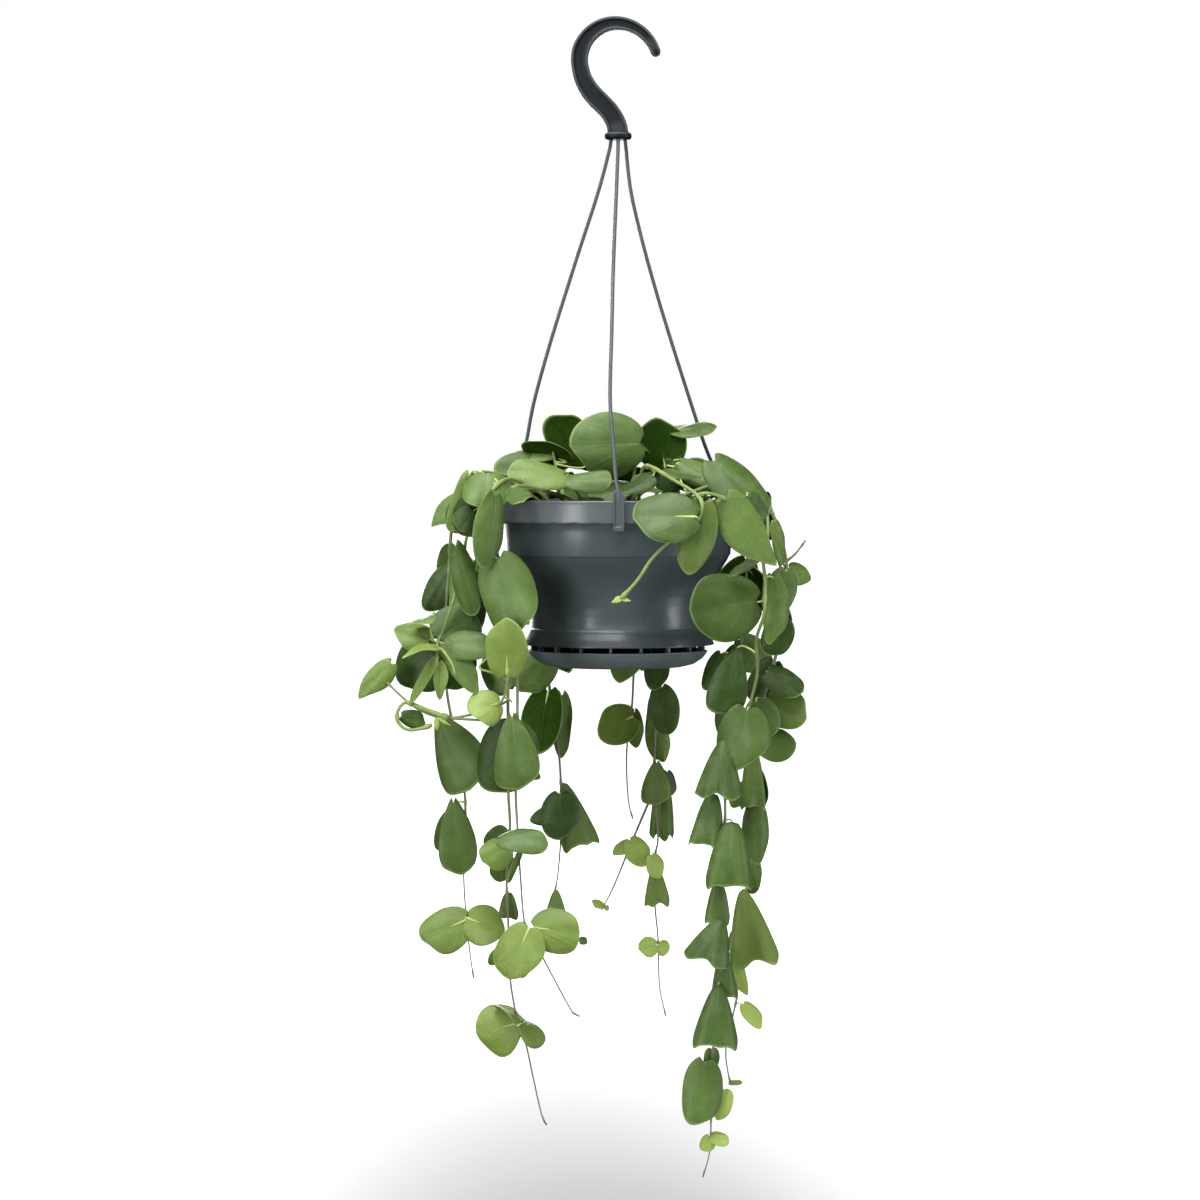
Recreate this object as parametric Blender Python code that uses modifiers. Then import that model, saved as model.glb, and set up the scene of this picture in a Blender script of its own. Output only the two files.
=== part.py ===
"""A trailing dischidia in a hanging nursery pot: hook, three strands, pot, saucer, soil and vines.

Metres, +Z up. The origin is where the hook bears on what it hangs from, on the pot's own axis.
-Y is the front. Lengths below are in millimetres, and MM turns them into metres.
"""

import math

import bmesh
import bpy
from mathutils import Matrix, Vector

MM = 0.001
GAP = 0.3  # clearance between pieces that touch

# Hook
HOOK_INNER_RADIUS = 18.3
HOOK_THICKNESS = 7.0
HOOK_STEPS = 15
HOOK_STEP_ANGLE = 13.75
HOOK_TIP_ANGLE = 12.0
HOOK_TIP_HALF = 3.03  # half the band's width at the tip
HOOK_HALF_GAIN = 2.2  # how much wider than that each half has become after the widening angle
HOOK_WIDENING_ANGLE = 152.75
HOOK_WIDENING_CURVE = 1.3
HOOK_MOUTH_FLARE = 2.1  # how far the tip stands outside the round of the bow
HOOK_FLARE_ANGLE = 70.5
HOOK_WEB_RECESS = 1.6
HOOK_RIM_WIDTH = 1.7
COLLAR_RADIUS = 8.3
COLLAR_TOP = -62.6
COLLAR_BOTTOM = -67.0
SOCKET_CIRCLE = 5.0
SOCKET_RADIUS = 1.55
SOCKET_DEPTH = 3.4

# Strands and their clips
STRAND_RADIUS = 1.15
CLIP_WIDTH = 6.7
CLIP_TOP = -281.0
CLIP_BOTTOM = -304.8
CLIP_THICKNESS = 2.0
CLIP_EDGE = 1.1

# Pot
RIM_TOP = -286.7
RIM_RADIUS = 75.0
RIM_BOTTOM = -300.1
COLLAR_WALL_RADIUS = 70.8
WAIST_RADIUS = 53.7
SKIRT_BOTTOM = -375.0
SKIRT_RADIUS = 58.9
WALL = 1.6
FLOOR_TOP = -366.0
FLOOR_BOTTOM = -367.8
DRAIN_COUNT = 6
DRAIN_CIRCLE = 34.0
DRAIN_RADIUS = 3.5
SEGMENTS = 36

# Saucer
SAUCER_RADIUS = 55.2
SAUCER_TOP = -378.2
SAUCER_BASE = -388.6
SAUCER_BASE_RADIUS = 39.7
RIB_COUNT = 18
RIB_WIDTH = 1.3

# Soil
SOIL_CENTRE = -297.4
SOIL_FALL = 4.0  # how much lower the soil lies at the wall than in the middle
SOIL_RADIUS = 68.6

# Plant
STEM_RADIUS = 1.15
STEM_TAPER = 1.6  # a stem keeps its girth at first and thins faster towards its tip
STALK_RADIUS = 0.6
STALK_INSET = 0.4  # how far a stalk runs on inside its blade
LEAF_THICKNESS = 1.5
LEAF_SECTORS = 5
SMALL_LEAF = 30.0  # a leaf shorter than this gets the coarser blade


# ---------------------------------------------------------------------------
# Scene, collections and materials


def clear_scene():
    for thing in list(bpy.data.objects):
        bpy.data.objects.remove(thing, do_unlink=True)


def new_collection(name, is_helper=False):
    made = bpy.data.collections.new(name)
    bpy.context.scene.collection.children.link(made)
    made.hide_render = is_helper
    return made


def new_material(name, colour, roughness):
    made = bpy.data.materials.new(name)
    made.use_nodes = True
    shader = made.node_tree.nodes["Principled BSDF"]
    shader.inputs["Base Color"].default_value = (*colour, 1.0)
    shader.inputs["Roughness"].default_value = roughness
    made.diffuse_color = (*colour, 1.0)
    return made


def new_object(name, data, collection, material=None):
    made = bpy.data.objects.new(name, data)
    collection.objects.link(made)
    if material:
        data.materials.append(material)
    return made


def mark_helper(thing):
    thing.hide_render = True
    thing.display_type = "WIRE"


def add_boolean(thing, other, operation):
    modifier = thing.modifiers.new(operation.lower(), "BOOLEAN")
    modifier.operation = operation
    if isinstance(other, bpy.types.Collection):
        modifier.operand_type = "COLLECTION"
        modifier.collection = other
    else:
        modifier.object = other


def mesh_from_bmesh(name, shape):
    bmesh.ops.recalc_face_normals(shape, faces=shape.faces)
    mesh = bpy.data.meshes.new(name)
    shape.to_mesh(mesh)
    shape.free()
    return mesh


def smooth(mesh, angle=35):
    mesh.shade_smooth()
    mesh.set_sharp_from_angle(angle=math.radians(angle))


def mesh_of_curve(curve_object):
    """The curve's tube as a mesh object with its caps welded; the curve itself is removed."""
    graph = bpy.context.evaluated_depsgraph_get()
    graph.update()
    mesh = bpy.data.meshes.new_from_object(curve_object.evaluated_get(graph))
    shape = bmesh.new()
    shape.from_mesh(mesh)
    bmesh.ops.remove_doubles(shape, verts=shape.verts, dist=0.00001)
    bmesh.ops.recalc_face_normals(shape, faces=shape.faces)
    shape.to_mesh(mesh)
    shape.free()
    name = curve_object.name
    collection = curve_object.users_collection[0]
    place = curve_object.matrix_world.copy()
    bpy.data.objects.remove(curve_object, do_unlink=True)
    made = bpy.data.objects.new(name, mesh)
    made.matrix_world = place
    collection.objects.link(made)
    return made


# ---------------------------------------------------------------------------
# Shapes


def smooth_route(points, spacing):
    """Points about `spacing` apart on a smooth Catmull-Rom curve through the given points."""
    knots = [Vector(p) for p in points]
    knots = [knots[0] * 2 - knots[1], *knots, knots[-1] * 2 - knots[-2]]
    route = []
    for before, start, end, after in zip(knots, knots[1:], knots[2:], knots[3:]):
        steps = max(1, round((end - start).length / spacing))
        for step in range(steps):
            t = step / steps
            route.append(
                0.5
                * (
                    2 * start
                    + (end - before) * t
                    + (2 * before - 5 * start + 4 * end - after) * t**2
                    + (3 * start - before - 3 * end + after) * t**3
                )
            )
    route.append(knots[-2])
    return route


def tube(name, route, radii, sides_level, collection):
    """A capped round tube along the route, as a mesh object."""
    curve = bpy.data.curves.new(name, "CURVE")
    curve.dimensions = "3D"
    curve.bevel_depth = MM
    curve.bevel_resolution = sides_level
    curve.use_fill_caps = True
    spline = curve.splines.new("POLY")
    spline.points.add(len(route) - 1)
    for point, place, radius in zip(spline.points, route, radii):
        point.co = (*(place * MM), 1.0)
        point.radius = radius
    return mesh_of_curve(new_object(name, curve, collection))


def turned(name, profile, collection, material, segments=SEGMENTS):
    """A turned piece. The profile starts on the axis on top and ends on it at the bottom."""
    mesh = bpy.data.meshes.new(name)
    points = [(radius * MM, 0, height * MM) for radius, height in profile]
    mesh.from_pydata(points, [(i, i + 1) for i in range(len(points) - 1)], [])
    made = new_object(name, mesh, collection, material)
    screw = made.modifiers.new("turn", "SCREW")
    screw.axis = "Z"
    screw.steps = segments
    screw.render_steps = segments
    screw.use_merge_vertices = True
    screw.merge_threshold = 0.00001
    screw.use_smooth_shade = True
    return made


def box(name, low, high, collection, turn=0.0):
    """A box between two corners in mm, turned about the Z axis through the origin."""
    shape = bmesh.new()
    size = [(b - a) * MM for a, b in zip(low, high)]
    centre = [(a + b) / 2 * MM for a, b in zip(low, high)]
    bmesh.ops.create_cube(shape, size=1.0, matrix=Matrix.Diagonal((*size, 1.0)))
    made = new_object(name, mesh_from_bmesh(name, shape), collection)
    spin = Matrix.Rotation(turn, 4, "Z")
    made.matrix_world = spin @ Matrix.Translation(centre)
    return made


def rod(name, radius, bottom, top, x, y, collection, sides=12):
    """An upright cylinder in mm, used as a cutter."""
    shape = bmesh.new()
    bmesh.ops.create_cone(
        shape,
        cap_ends=True,
        segments=sides,
        radius1=radius * MM,
        radius2=radius * MM,
        depth=(top - bottom) * MM,
    )
    made = new_object(name, mesh_from_bmesh(name, shape), collection)
    made.location = (x * MM, y * MM, (top + bottom) / 2 * MM)
    return made


# ---------------------------------------------------------------------------
# Hook


def hook_centreline():
    """(centre point in XZ, half width) from the rounded tip, over the bow, to the neck."""
    centre_z = -HOOK_INNER_RADIUS
    line = []
    for step in range(HOOK_STEPS):
        turned_by = step * HOOK_STEP_ANGLE
        angle = math.radians(HOOK_TIP_ANGLE + turned_by)
        widened = min(1.0, turned_by / HOOK_WIDENING_ANGLE) ** HOOK_WIDENING_CURVE
        half = HOOK_TIP_HALF + HOOK_HALF_GAIN * widened
        open_mouth = HOOK_MOUTH_FLARE * max(0.0, 1 - turned_by / HOOK_FLARE_ANGLE) ** 2
        radius = HOOK_INNER_RADIUS + open_mouth + half
        line.append((radius * math.cos(angle), centre_z + radius * math.sin(angle), half))
    line += [(-19.9, -34.0, 5.3), (-15.6, -39.4, 5.5), (-10.4, -44.2, 5.7)]
    line += [(-5.6, -49.2, 5.8), (-2.2, -54.4, 6.0), (-0.5, -59.4, 6.2), (0.0, -64.6, 6.4)]
    return line


def band_outline(line, inset):
    """The closed outline of the band, its ends rounded at the tip, pulled in by `inset` all round."""
    left, right = [], []
    for i, (x, z, half) in enumerate(line):
        ax, az, _ = line[max(0, i - 1)]
        bx, bz, _ = line[min(len(line) - 1, i + 1)]
        along = Vector((bx - ax, bz - az)).normalized()
        across = Vector((-along.y, along.x))
        reach = max(0.3, half - inset)
        left.append(Vector((x, z)) + across * reach)
        right.append(Vector((x, z)) - across * reach)
    x, z, half = line[0]
    back = (Vector((x, z)) - Vector(line[1][:2])).normalized()
    side = Vector((-back.y, back.x))
    reach = max(0.3, half - inset)
    tip = []
    for step in range(1, 5):
        turn = math.pi * step / 5
        tip.append(Vector((x, z)) + side * (reach * math.cos(turn)) + back * (reach * math.sin(turn)))
    return list(reversed(left)) + [p for p in reversed(tip)] + right


def plate(name, outline, low_y, high_y, collection):
    """A flat outline in the XZ plane, extruded between two Y values."""
    curve = bpy.data.curves.new(name, "CURVE")
    curve.dimensions = "2D"
    curve.fill_mode = "BOTH"
    curve.extrude = (high_y - low_y) / 2 * MM
    spline = curve.splines.new("POLY")
    spline.points.add(len(outline) - 1)
    spline.use_cyclic_u = True
    for point, place in zip(spline.points, outline):
        point.co = (place.x * MM, place.y * MM, 0.0, 1.0)
    made = new_object(name, curve, collection)
    shift = Matrix.Translation((0, (low_y + high_y) / 2 * MM, 0))
    made.matrix_world = shift @ Matrix.Rotation(math.radians(90), 4, "X")
    bpy.context.view_layer.update()
    return mesh_of_curve(made)


def build_hook(parts, cutters, plastic):
    line = hook_centreline()
    half = HOOK_THICKNESS / 2
    hook = plate("hanger_hook", band_outline(line, 0), -half, half, parts)
    hook.data.materials.append(plastic)
    recess = band_outline(line[:-2], HOOK_RIM_WIDTH)
    floor = half - HOOK_WEB_RECESS
    for side, low, high in (("front", -half - 2, -floor), ("back", floor, half + 2)):
        cutter = plate(f"hook_recess_{side}", recess, low, high, cutters)
        mark_helper(cutter)
        add_boolean(hook, cutter, "DIFFERENCE")
    collar = turned(
        "hook_collar",
        [
            (0, COLLAR_TOP),
            (COLLAR_RADIUS - 1.2, COLLAR_TOP),
            (COLLAR_RADIUS, COLLAR_TOP - 1.0),
            (COLLAR_RADIUS, COLLAR_BOTTOM + 0.8),
            (COLLAR_RADIUS - 0.8, COLLAR_BOTTOM),
            (0, COLLAR_BOTTOM),
        ],
        cutters,
        None,
        segments=24,
    )
    mark_helper(collar)
    add_boolean(hook, collar, "UNION")
    for name, angle in STRAND_ANGLES.items():
        x = SOCKET_CIRCLE * math.cos(math.radians(angle))
        y = SOCKET_CIRCLE * math.sin(math.radians(angle))
        top = COLLAR_BOTTOM + SOCKET_DEPTH
        socket = rod(f"socket_{name}", SOCKET_RADIUS, COLLAR_BOTTOM - 2, top, x, y, cutters)
        mark_helper(socket)
        add_boolean(hook, socket, "DIFFERENCE")
    return hook


# ---------------------------------------------------------------------------
# Strands


STRAND_ANGLES = {"front": -90, "left": 150, "right": 30}

# (distance from the pot's axis, height, sideways bow) down each strand, between collar and clip
STRAND_ROUTES = {
    "front": [(12, -97, -1), (27, -146, -3), (42, -185, -4), (57, -226, -5), (67, -254, -3)],
    "left": [(14, -98, 0), (30, -140, 0), (48, -189, 0), (60, -226, 0), (66, -252, 0)],
    "right": [(9, -97, 0), (17, -127, 0), (27, -158, 0), (37, -186, 0), (52, -226, 0), (63, -254, 0)],
}


def build_strand(side, parts, cutters, plastic):
    turn = math.radians(STRAND_ANGLES[side])
    outward = Vector((math.cos(turn), math.sin(turn), 0))
    sideways = Vector((-math.sin(turn), math.cos(turn), 0)) * (1 if side == "front" else 0)
    inner = RIM_RADIUS + GAP
    outer = inner + CLIP_THICKNESS
    axis = inner + CLIP_THICKNESS / 2
    top = COLLAR_BOTTOM + SOCKET_DEPTH - GAP
    stations = [(SOCKET_CIRCLE, top, 0), (SOCKET_CIRCLE, COLLAR_BOTTOM, 0)]
    stations += [(SOCKET_CIRCLE + 0.6, COLLAR_BOTTOM - 4, 0), *STRAND_ROUTES[side]]
    stations += [(73.5, -275, -1.5), (axis, CLIP_TOP - 1, 0), (axis, CLIP_TOP - 5, 0)]
    route = smooth_route(
        [outward * r + sideways * bow + Vector((0, 0, z)) for r, z, bow in stations], 18
    )
    strand = tube(f"hanger_strand_{side}", route, [STRAND_RADIUS] * len(route), 2, parts)
    strand.data.materials.append(plastic)
    smooth(strand.data)
    half = CLIP_WIDTH / 2
    lip_inside = RIM_RADIUS - WALL - GAP
    hook_bottom = RIM_BOTTOM - GAP
    pieces = {
        "plate": ((inner, -half, CLIP_BOTTOM), (outer, half, CLIP_TOP)),
        "edge_a": ((inner + 1, half - CLIP_EDGE, CLIP_BOTTOM), (outer + 1, half, CLIP_TOP - 1)),
        "edge_b": ((inner + 1, -half, CLIP_BOTTOM), (outer + 1, CLIP_EDGE - half, CLIP_TOP - 1)),
        "toe": ((COLLAR_WALL_RADIUS + 0.6, -half, CLIP_BOTTOM), (inner + 1, half, hook_bottom)),
        "bridge": ((lip_inside - 1.4, -half + 0.6, RIM_TOP + GAP), (inner + 1, half - 0.6, RIM_TOP + 2)),
        "tongue": ((lip_inside - 1.4, -half + 0.6, RIM_TOP - 5), (lip_inside, half - 0.6, RIM_TOP + 1)),
    }
    clip = new_collection(f"clip_{side}", is_helper=True)
    for name, (low, high) in pieces.items():
        mark_helper(box(f"clip_{side}_{name}", low, high, clip, turn))
    add_boolean(strand, clip, "UNION")
    return strand


# ---------------------------------------------------------------------------
# Pot, saucer and soil

# The outside of the wall below the rim band: (radius, height)
WALL_OUTSIDE = [
    (COLLAR_WALL_RADIUS, RIM_BOTTOM),
    (68.9, -320.3),
    (68.2, -321.0),
    (61.0, -332.5),
    (55.6, -345.0),
    (WAIST_RADIUS, -356.9),
    (54.9, -364.8),
    (57.6, -370.5),
]


def wall_inside():
    """The inside of the wall, from the floor up to the rim band."""
    inside = [(radius - WALL, height) for radius, height in WALL_OUTSIDE[:-2]]
    return [(50.5, FLOOR_TOP), *reversed(inside)]


def build_pot(parts, cutters, plastic):
    inner_lip = RIM_RADIUS - WALL
    profile = [(0, FLOOR_TOP), *wall_inside()]
    profile += [(inner_lip, RIM_BOTTOM + 1.5), (inner_lip, RIM_TOP)]
    profile += [(RIM_RADIUS, RIM_TOP), (RIM_RADIUS, RIM_BOTTOM)]
    profile += WALL_OUTSIDE
    profile += [(SKIRT_RADIUS, SKIRT_BOTTOM), (SKIRT_RADIUS - WALL, SKIRT_BOTTOM)]
    profile += [(54.4, FLOOR_BOTTOM), (0, FLOOR_BOTTOM)]
    pot = turned("pot", profile, parts, plastic)
    for number in range(DRAIN_COUNT):
        angle = math.tau * (number + 0.31) / DRAIN_COUNT
        x, y = DRAIN_CIRCLE * math.cos(angle), DRAIN_CIRCLE * math.sin(angle)
        name = f"drain_{number + 1}"
        cutter = rod(name, DRAIN_RADIUS, FLOOR_BOTTOM - 3, FLOOR_TOP + 3, x, y, cutters)
        mark_helper(cutter)
        add_boolean(pot, cutter, "DIFFERENCE")
    return pot


def build_saucer(parts, plastic):
    inner_floor = SAUCER_BASE + WALL
    saucer = turned(
        "drip_saucer",
        [
            (0, inner_floor),
            (SAUCER_BASE_RADIUS - 1.0, inner_floor),
            (46.2, -385.3),
            (50.8, -382.0),
            (SAUCER_RADIUS - 1.5, SAUCER_TOP),
            (SAUCER_RADIUS, SAUCER_TOP),
            (52.0, -383.4),
            (46.8, -386.9),
            (SAUCER_BASE_RADIUS, SAUCER_BASE),
            (0, SAUCER_BASE),
        ],
        parts,
        plastic,
    )
    ribs = new_collection("saucer_ribs", is_helper=True)
    half = RIB_WIDTH / 2
    for number in range(RIB_COUNT):
        angle = math.tau * (number + 0.25) / RIB_COUNT
        low, high = (49.8, -half, -382.0), (53.6, half, FLOOR_BOTTOM - GAP)
        mark_helper(box(f"saucer_rib_{number + 1}", low, high, ribs, angle))
    add_boolean(saucer, ribs, "UNION")
    return saucer


def soil_height(radius):
    return SOIL_CENTRE - SOIL_FALL * (radius / SOIL_RADIUS) ** 2


def build_soil(parts, material):
    top = [(r, soil_height(r)) for r in (0, 34, SOIL_RADIUS)]
    side = [(r - GAP, z) for r, z in reversed(wall_inside()[1:]) if z < SOIL_CENTRE - SOIL_FALL - 2]
    bottom = [(50.2, FLOOR_TOP + GAP), (0, FLOOR_TOP + GAP)]
    return turned("soil", top + side + bottom, parts, material, segments=28)


# ---------------------------------------------------------------------------
# Leaves
#
# A blade is a fan round the point where its stalk joins it. `turn` runs from -1 at one base lobe,
# through 0 at the tip, to 1 at the other lobe; `reach` runs from 0 at the stalk to 1 at the margin.

SINUS = math.radians(165)  # the round outline stops this far from the tip on each side
LOBE = 0.12  # how far the base lobes reach back past the stalk, as a share of the length
WRAP = math.radians(125)  # how far a cape's sides turn round its stem
CUP = 0.12  # how far the tip bends back, as a share of the length
TIP_CURVE = 1.6  # how late towards the tip an ovate or trough leaf begins to narrow
HEM_START = 0.42  # beyond this turn, the hem of a cape rises
HEM_RISE = 0.9
MARGIN = 1.05  # the straight-edged outline is this much larger, so that it covers the round leaf

# How far each open kind is drawn in at its stalk and at its tip, and the radians that its margin
# has turned down by at the widest place.
KINDS = {
    "open": (0.0, 0.0, 0.55),
    "wing": (0.0, 0.0, 0.4),
    "ovate": (0.0, 0.5, 0.6),
    "pear": (0.78, 0.0, 0.9),
    "trough": (0.1, 0.45, -0.8),
}
# How fast each closed kind widens below its point.
SWELLS = {"cape": 0.62, "hood": 0.42}


def flat_blade(kind, turn, length, width, lean):
    """x and y of the margin of an open leaf before it is bent."""
    stalk_draw, tip_draw, _ = KINDS[kind]
    around = turn * SINUS
    x = width / 2 * math.sin(around)
    y = length * ((1 + LOBE) * (0.5 + 0.5 * math.cos(around)) - LOBE)
    along = min(1.0, max(0.0, y / length))
    from_stalk = min(1.0, max(0.0, y / length + LOBE))
    x *= (1 - stalk_draw * (1 - from_stalk)) * (1 - tip_draw * along**TIP_CURVE)
    return x + lean * width * math.sin(math.pi * along), y


def blade_point(form, turn, reach):
    """x across, y from the stalk to the tip and z out of the upper side, in mm."""
    kind, length, width, lean = form
    if kind in SWELLS:
        swell = reach ** SWELLS[kind]
        around = turn * WRAP
        fall = length * (1 - HEM_RISE * max(0.0, abs(turn) - HEM_START) ** 2)
        x = width / 2 * swell * math.sin(around)
        z = width / 4 * swell * math.cos(around)
        return Vector((x, reach * fall, z))
    x, y = flat_blade(kind, turn, length, width, lean)
    x, y = reach * MARGIN * x, reach * MARGIN * y
    radius = width / 2 / KINDS[kind][2]
    z = -radius * (1 - math.cos(x / radius)) - CUP * length * (y / length) ** 2
    return Vector((radius * math.sin(x / radius), y, z))


def leaf_mesh(name, form):
    """One blade, closed, thick round its stalk and thinning to nothing at its margin."""
    shape = bmesh.new()
    reaches = [1.0] if form[1] < SMALL_LEAF else [0.55, 1.0]
    turns = [2 * i / LEAF_SECTORS - 1 for i in range(LEAF_SECTORS + 1)]
    half = LEAF_THICKNESS / 2

    def normal_at(turn, reach):
        step = 0.02
        here = blade_point(form, turn, reach)
        out = blade_point(form, turn, reach - step) - here
        along = blade_point(form, turn + step, reach) - here
        return out.cross(along).normalized()

    tops = [[shape.verts.new(Vector((0, 0, half)) * MM)] * (LEAF_SECTORS + 1)]
    unders = [[shape.verts.new(Vector((0, 0, -half)) * MM)] * (LEAF_SECTORS + 1)]
    for reach in reaches:
        top, under = [], []
        for i, turn in enumerate(turns):
            place = blade_point(form, turn, reach)
            if reach == 1.0 or i in (0, LEAF_SECTORS):
                vertex = shape.verts.new(place * MM)
                top.append(vertex)
                under.append(vertex)
                continue
            lift = normal_at(turn, reach) * half
            top.append(shape.verts.new((place + lift) * MM))
            under.append(shape.verts.new((place - lift) * MM))
        tops.append(top)
        unders.append(under)
    for rings in (tops, unders):
        for inner, outer in zip(rings, rings[1:]):
            for i in range(LEAF_SECTORS):
                corners = dict.fromkeys((inner[i], inner[i + 1], outer[i + 1], outer[i]))
                shape.faces.new(corners)
    for side in (0, -1):
        shape.faces.new((tops[0][side], unders[0][side], tops[1][side]))
    bmesh.ops.triangulate(shape, faces=[f for f in shape.faces if len(f.verts) > 3])
    return mesh_from_bmesh(name, shape)


def add_stalk(name, start, end, collection):
    """A stalk from the middle of the stem to just inside the blade."""
    shape = bmesh.new()
    reach = end - start
    bmesh.ops.create_cone(
        shape,
        cap_ends=True,
        segments=4,
        radius1=STALK_RADIUS * MM,
        radius2=STALK_RADIUS * 0.85 * MM,
        depth=reach.length * MM,
    )
    made = new_object(name, mesh_from_bmesh(name, shape), collection)
    turn = reach.to_track_quat("Z", "Y").to_matrix().to_4x4()
    made.matrix_world = Matrix.Translation((start + end) / 2 * MM) @ turn
    mark_helper(made)


def nearest_on(routes, place):
    """The point of any of the routes that lies nearest, and its distance along the way."""
    best = None
    for route in routes:
        for a, b in zip(route, route[1:]):
            step = b - a
            share = min(1.0, max(0.0, (place - a).dot(step) / step.length_squared))
            here = a + step * share
            if best is None or (here - place).length < (best - place).length:
                best = here
    return best


def leaf_object(name, row, routes, collection):
    kind, foot, tip, width, azimuth, elevation, lean = row
    foot, tip = Vector(foot), Vector(tip)
    axis = (tip - foot).normalized()
    azimuth, elevation = math.radians(azimuth), math.radians(elevation)
    level = math.cos(elevation)
    facing = Vector((level * math.cos(azimuth), level * math.sin(azimuth), math.sin(elevation)))
    normal = (facing - axis * facing.dot(axis)).normalized()
    across = axis.cross(normal)
    basis = Matrix((across, axis, normal)).transposed()
    form = (kind, (tip - foot).length, width, lean)
    leaf = new_object(name, leaf_mesh(name, form), collection)
    leaf.matrix_world = Matrix.Translation(foot * MM) @ basis.to_4x4()
    mark_helper(leaf)
    start = nearest_on(routes, foot)
    if (foot - start).length > STALK_RADIUS:
        inside = foot + (foot - start).normalized() * STALK_INSET + axis * STALK_INSET
        add_stalk(f"{name}_stalk", start, inside, collection)


# ---------------------------------------------------------------------------
# Vines
#
# Each vine has one or more stems, each as (radius at its tip, points from the soil outwards), and its
# leaves as (kind, where the stalk meets the blade, tip, width, azimuth and elevation that the upper side
# faces, how far the middle leans to one side as a share of the width). An open blade is domed, a wing
# is flatter, an ovate leaf is narrower at its tip, a pear is narrow at its stalk and a trough curls
# its sides up. A cape hangs folded round the stem, and a hood is a cape with a rounded top.

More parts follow.
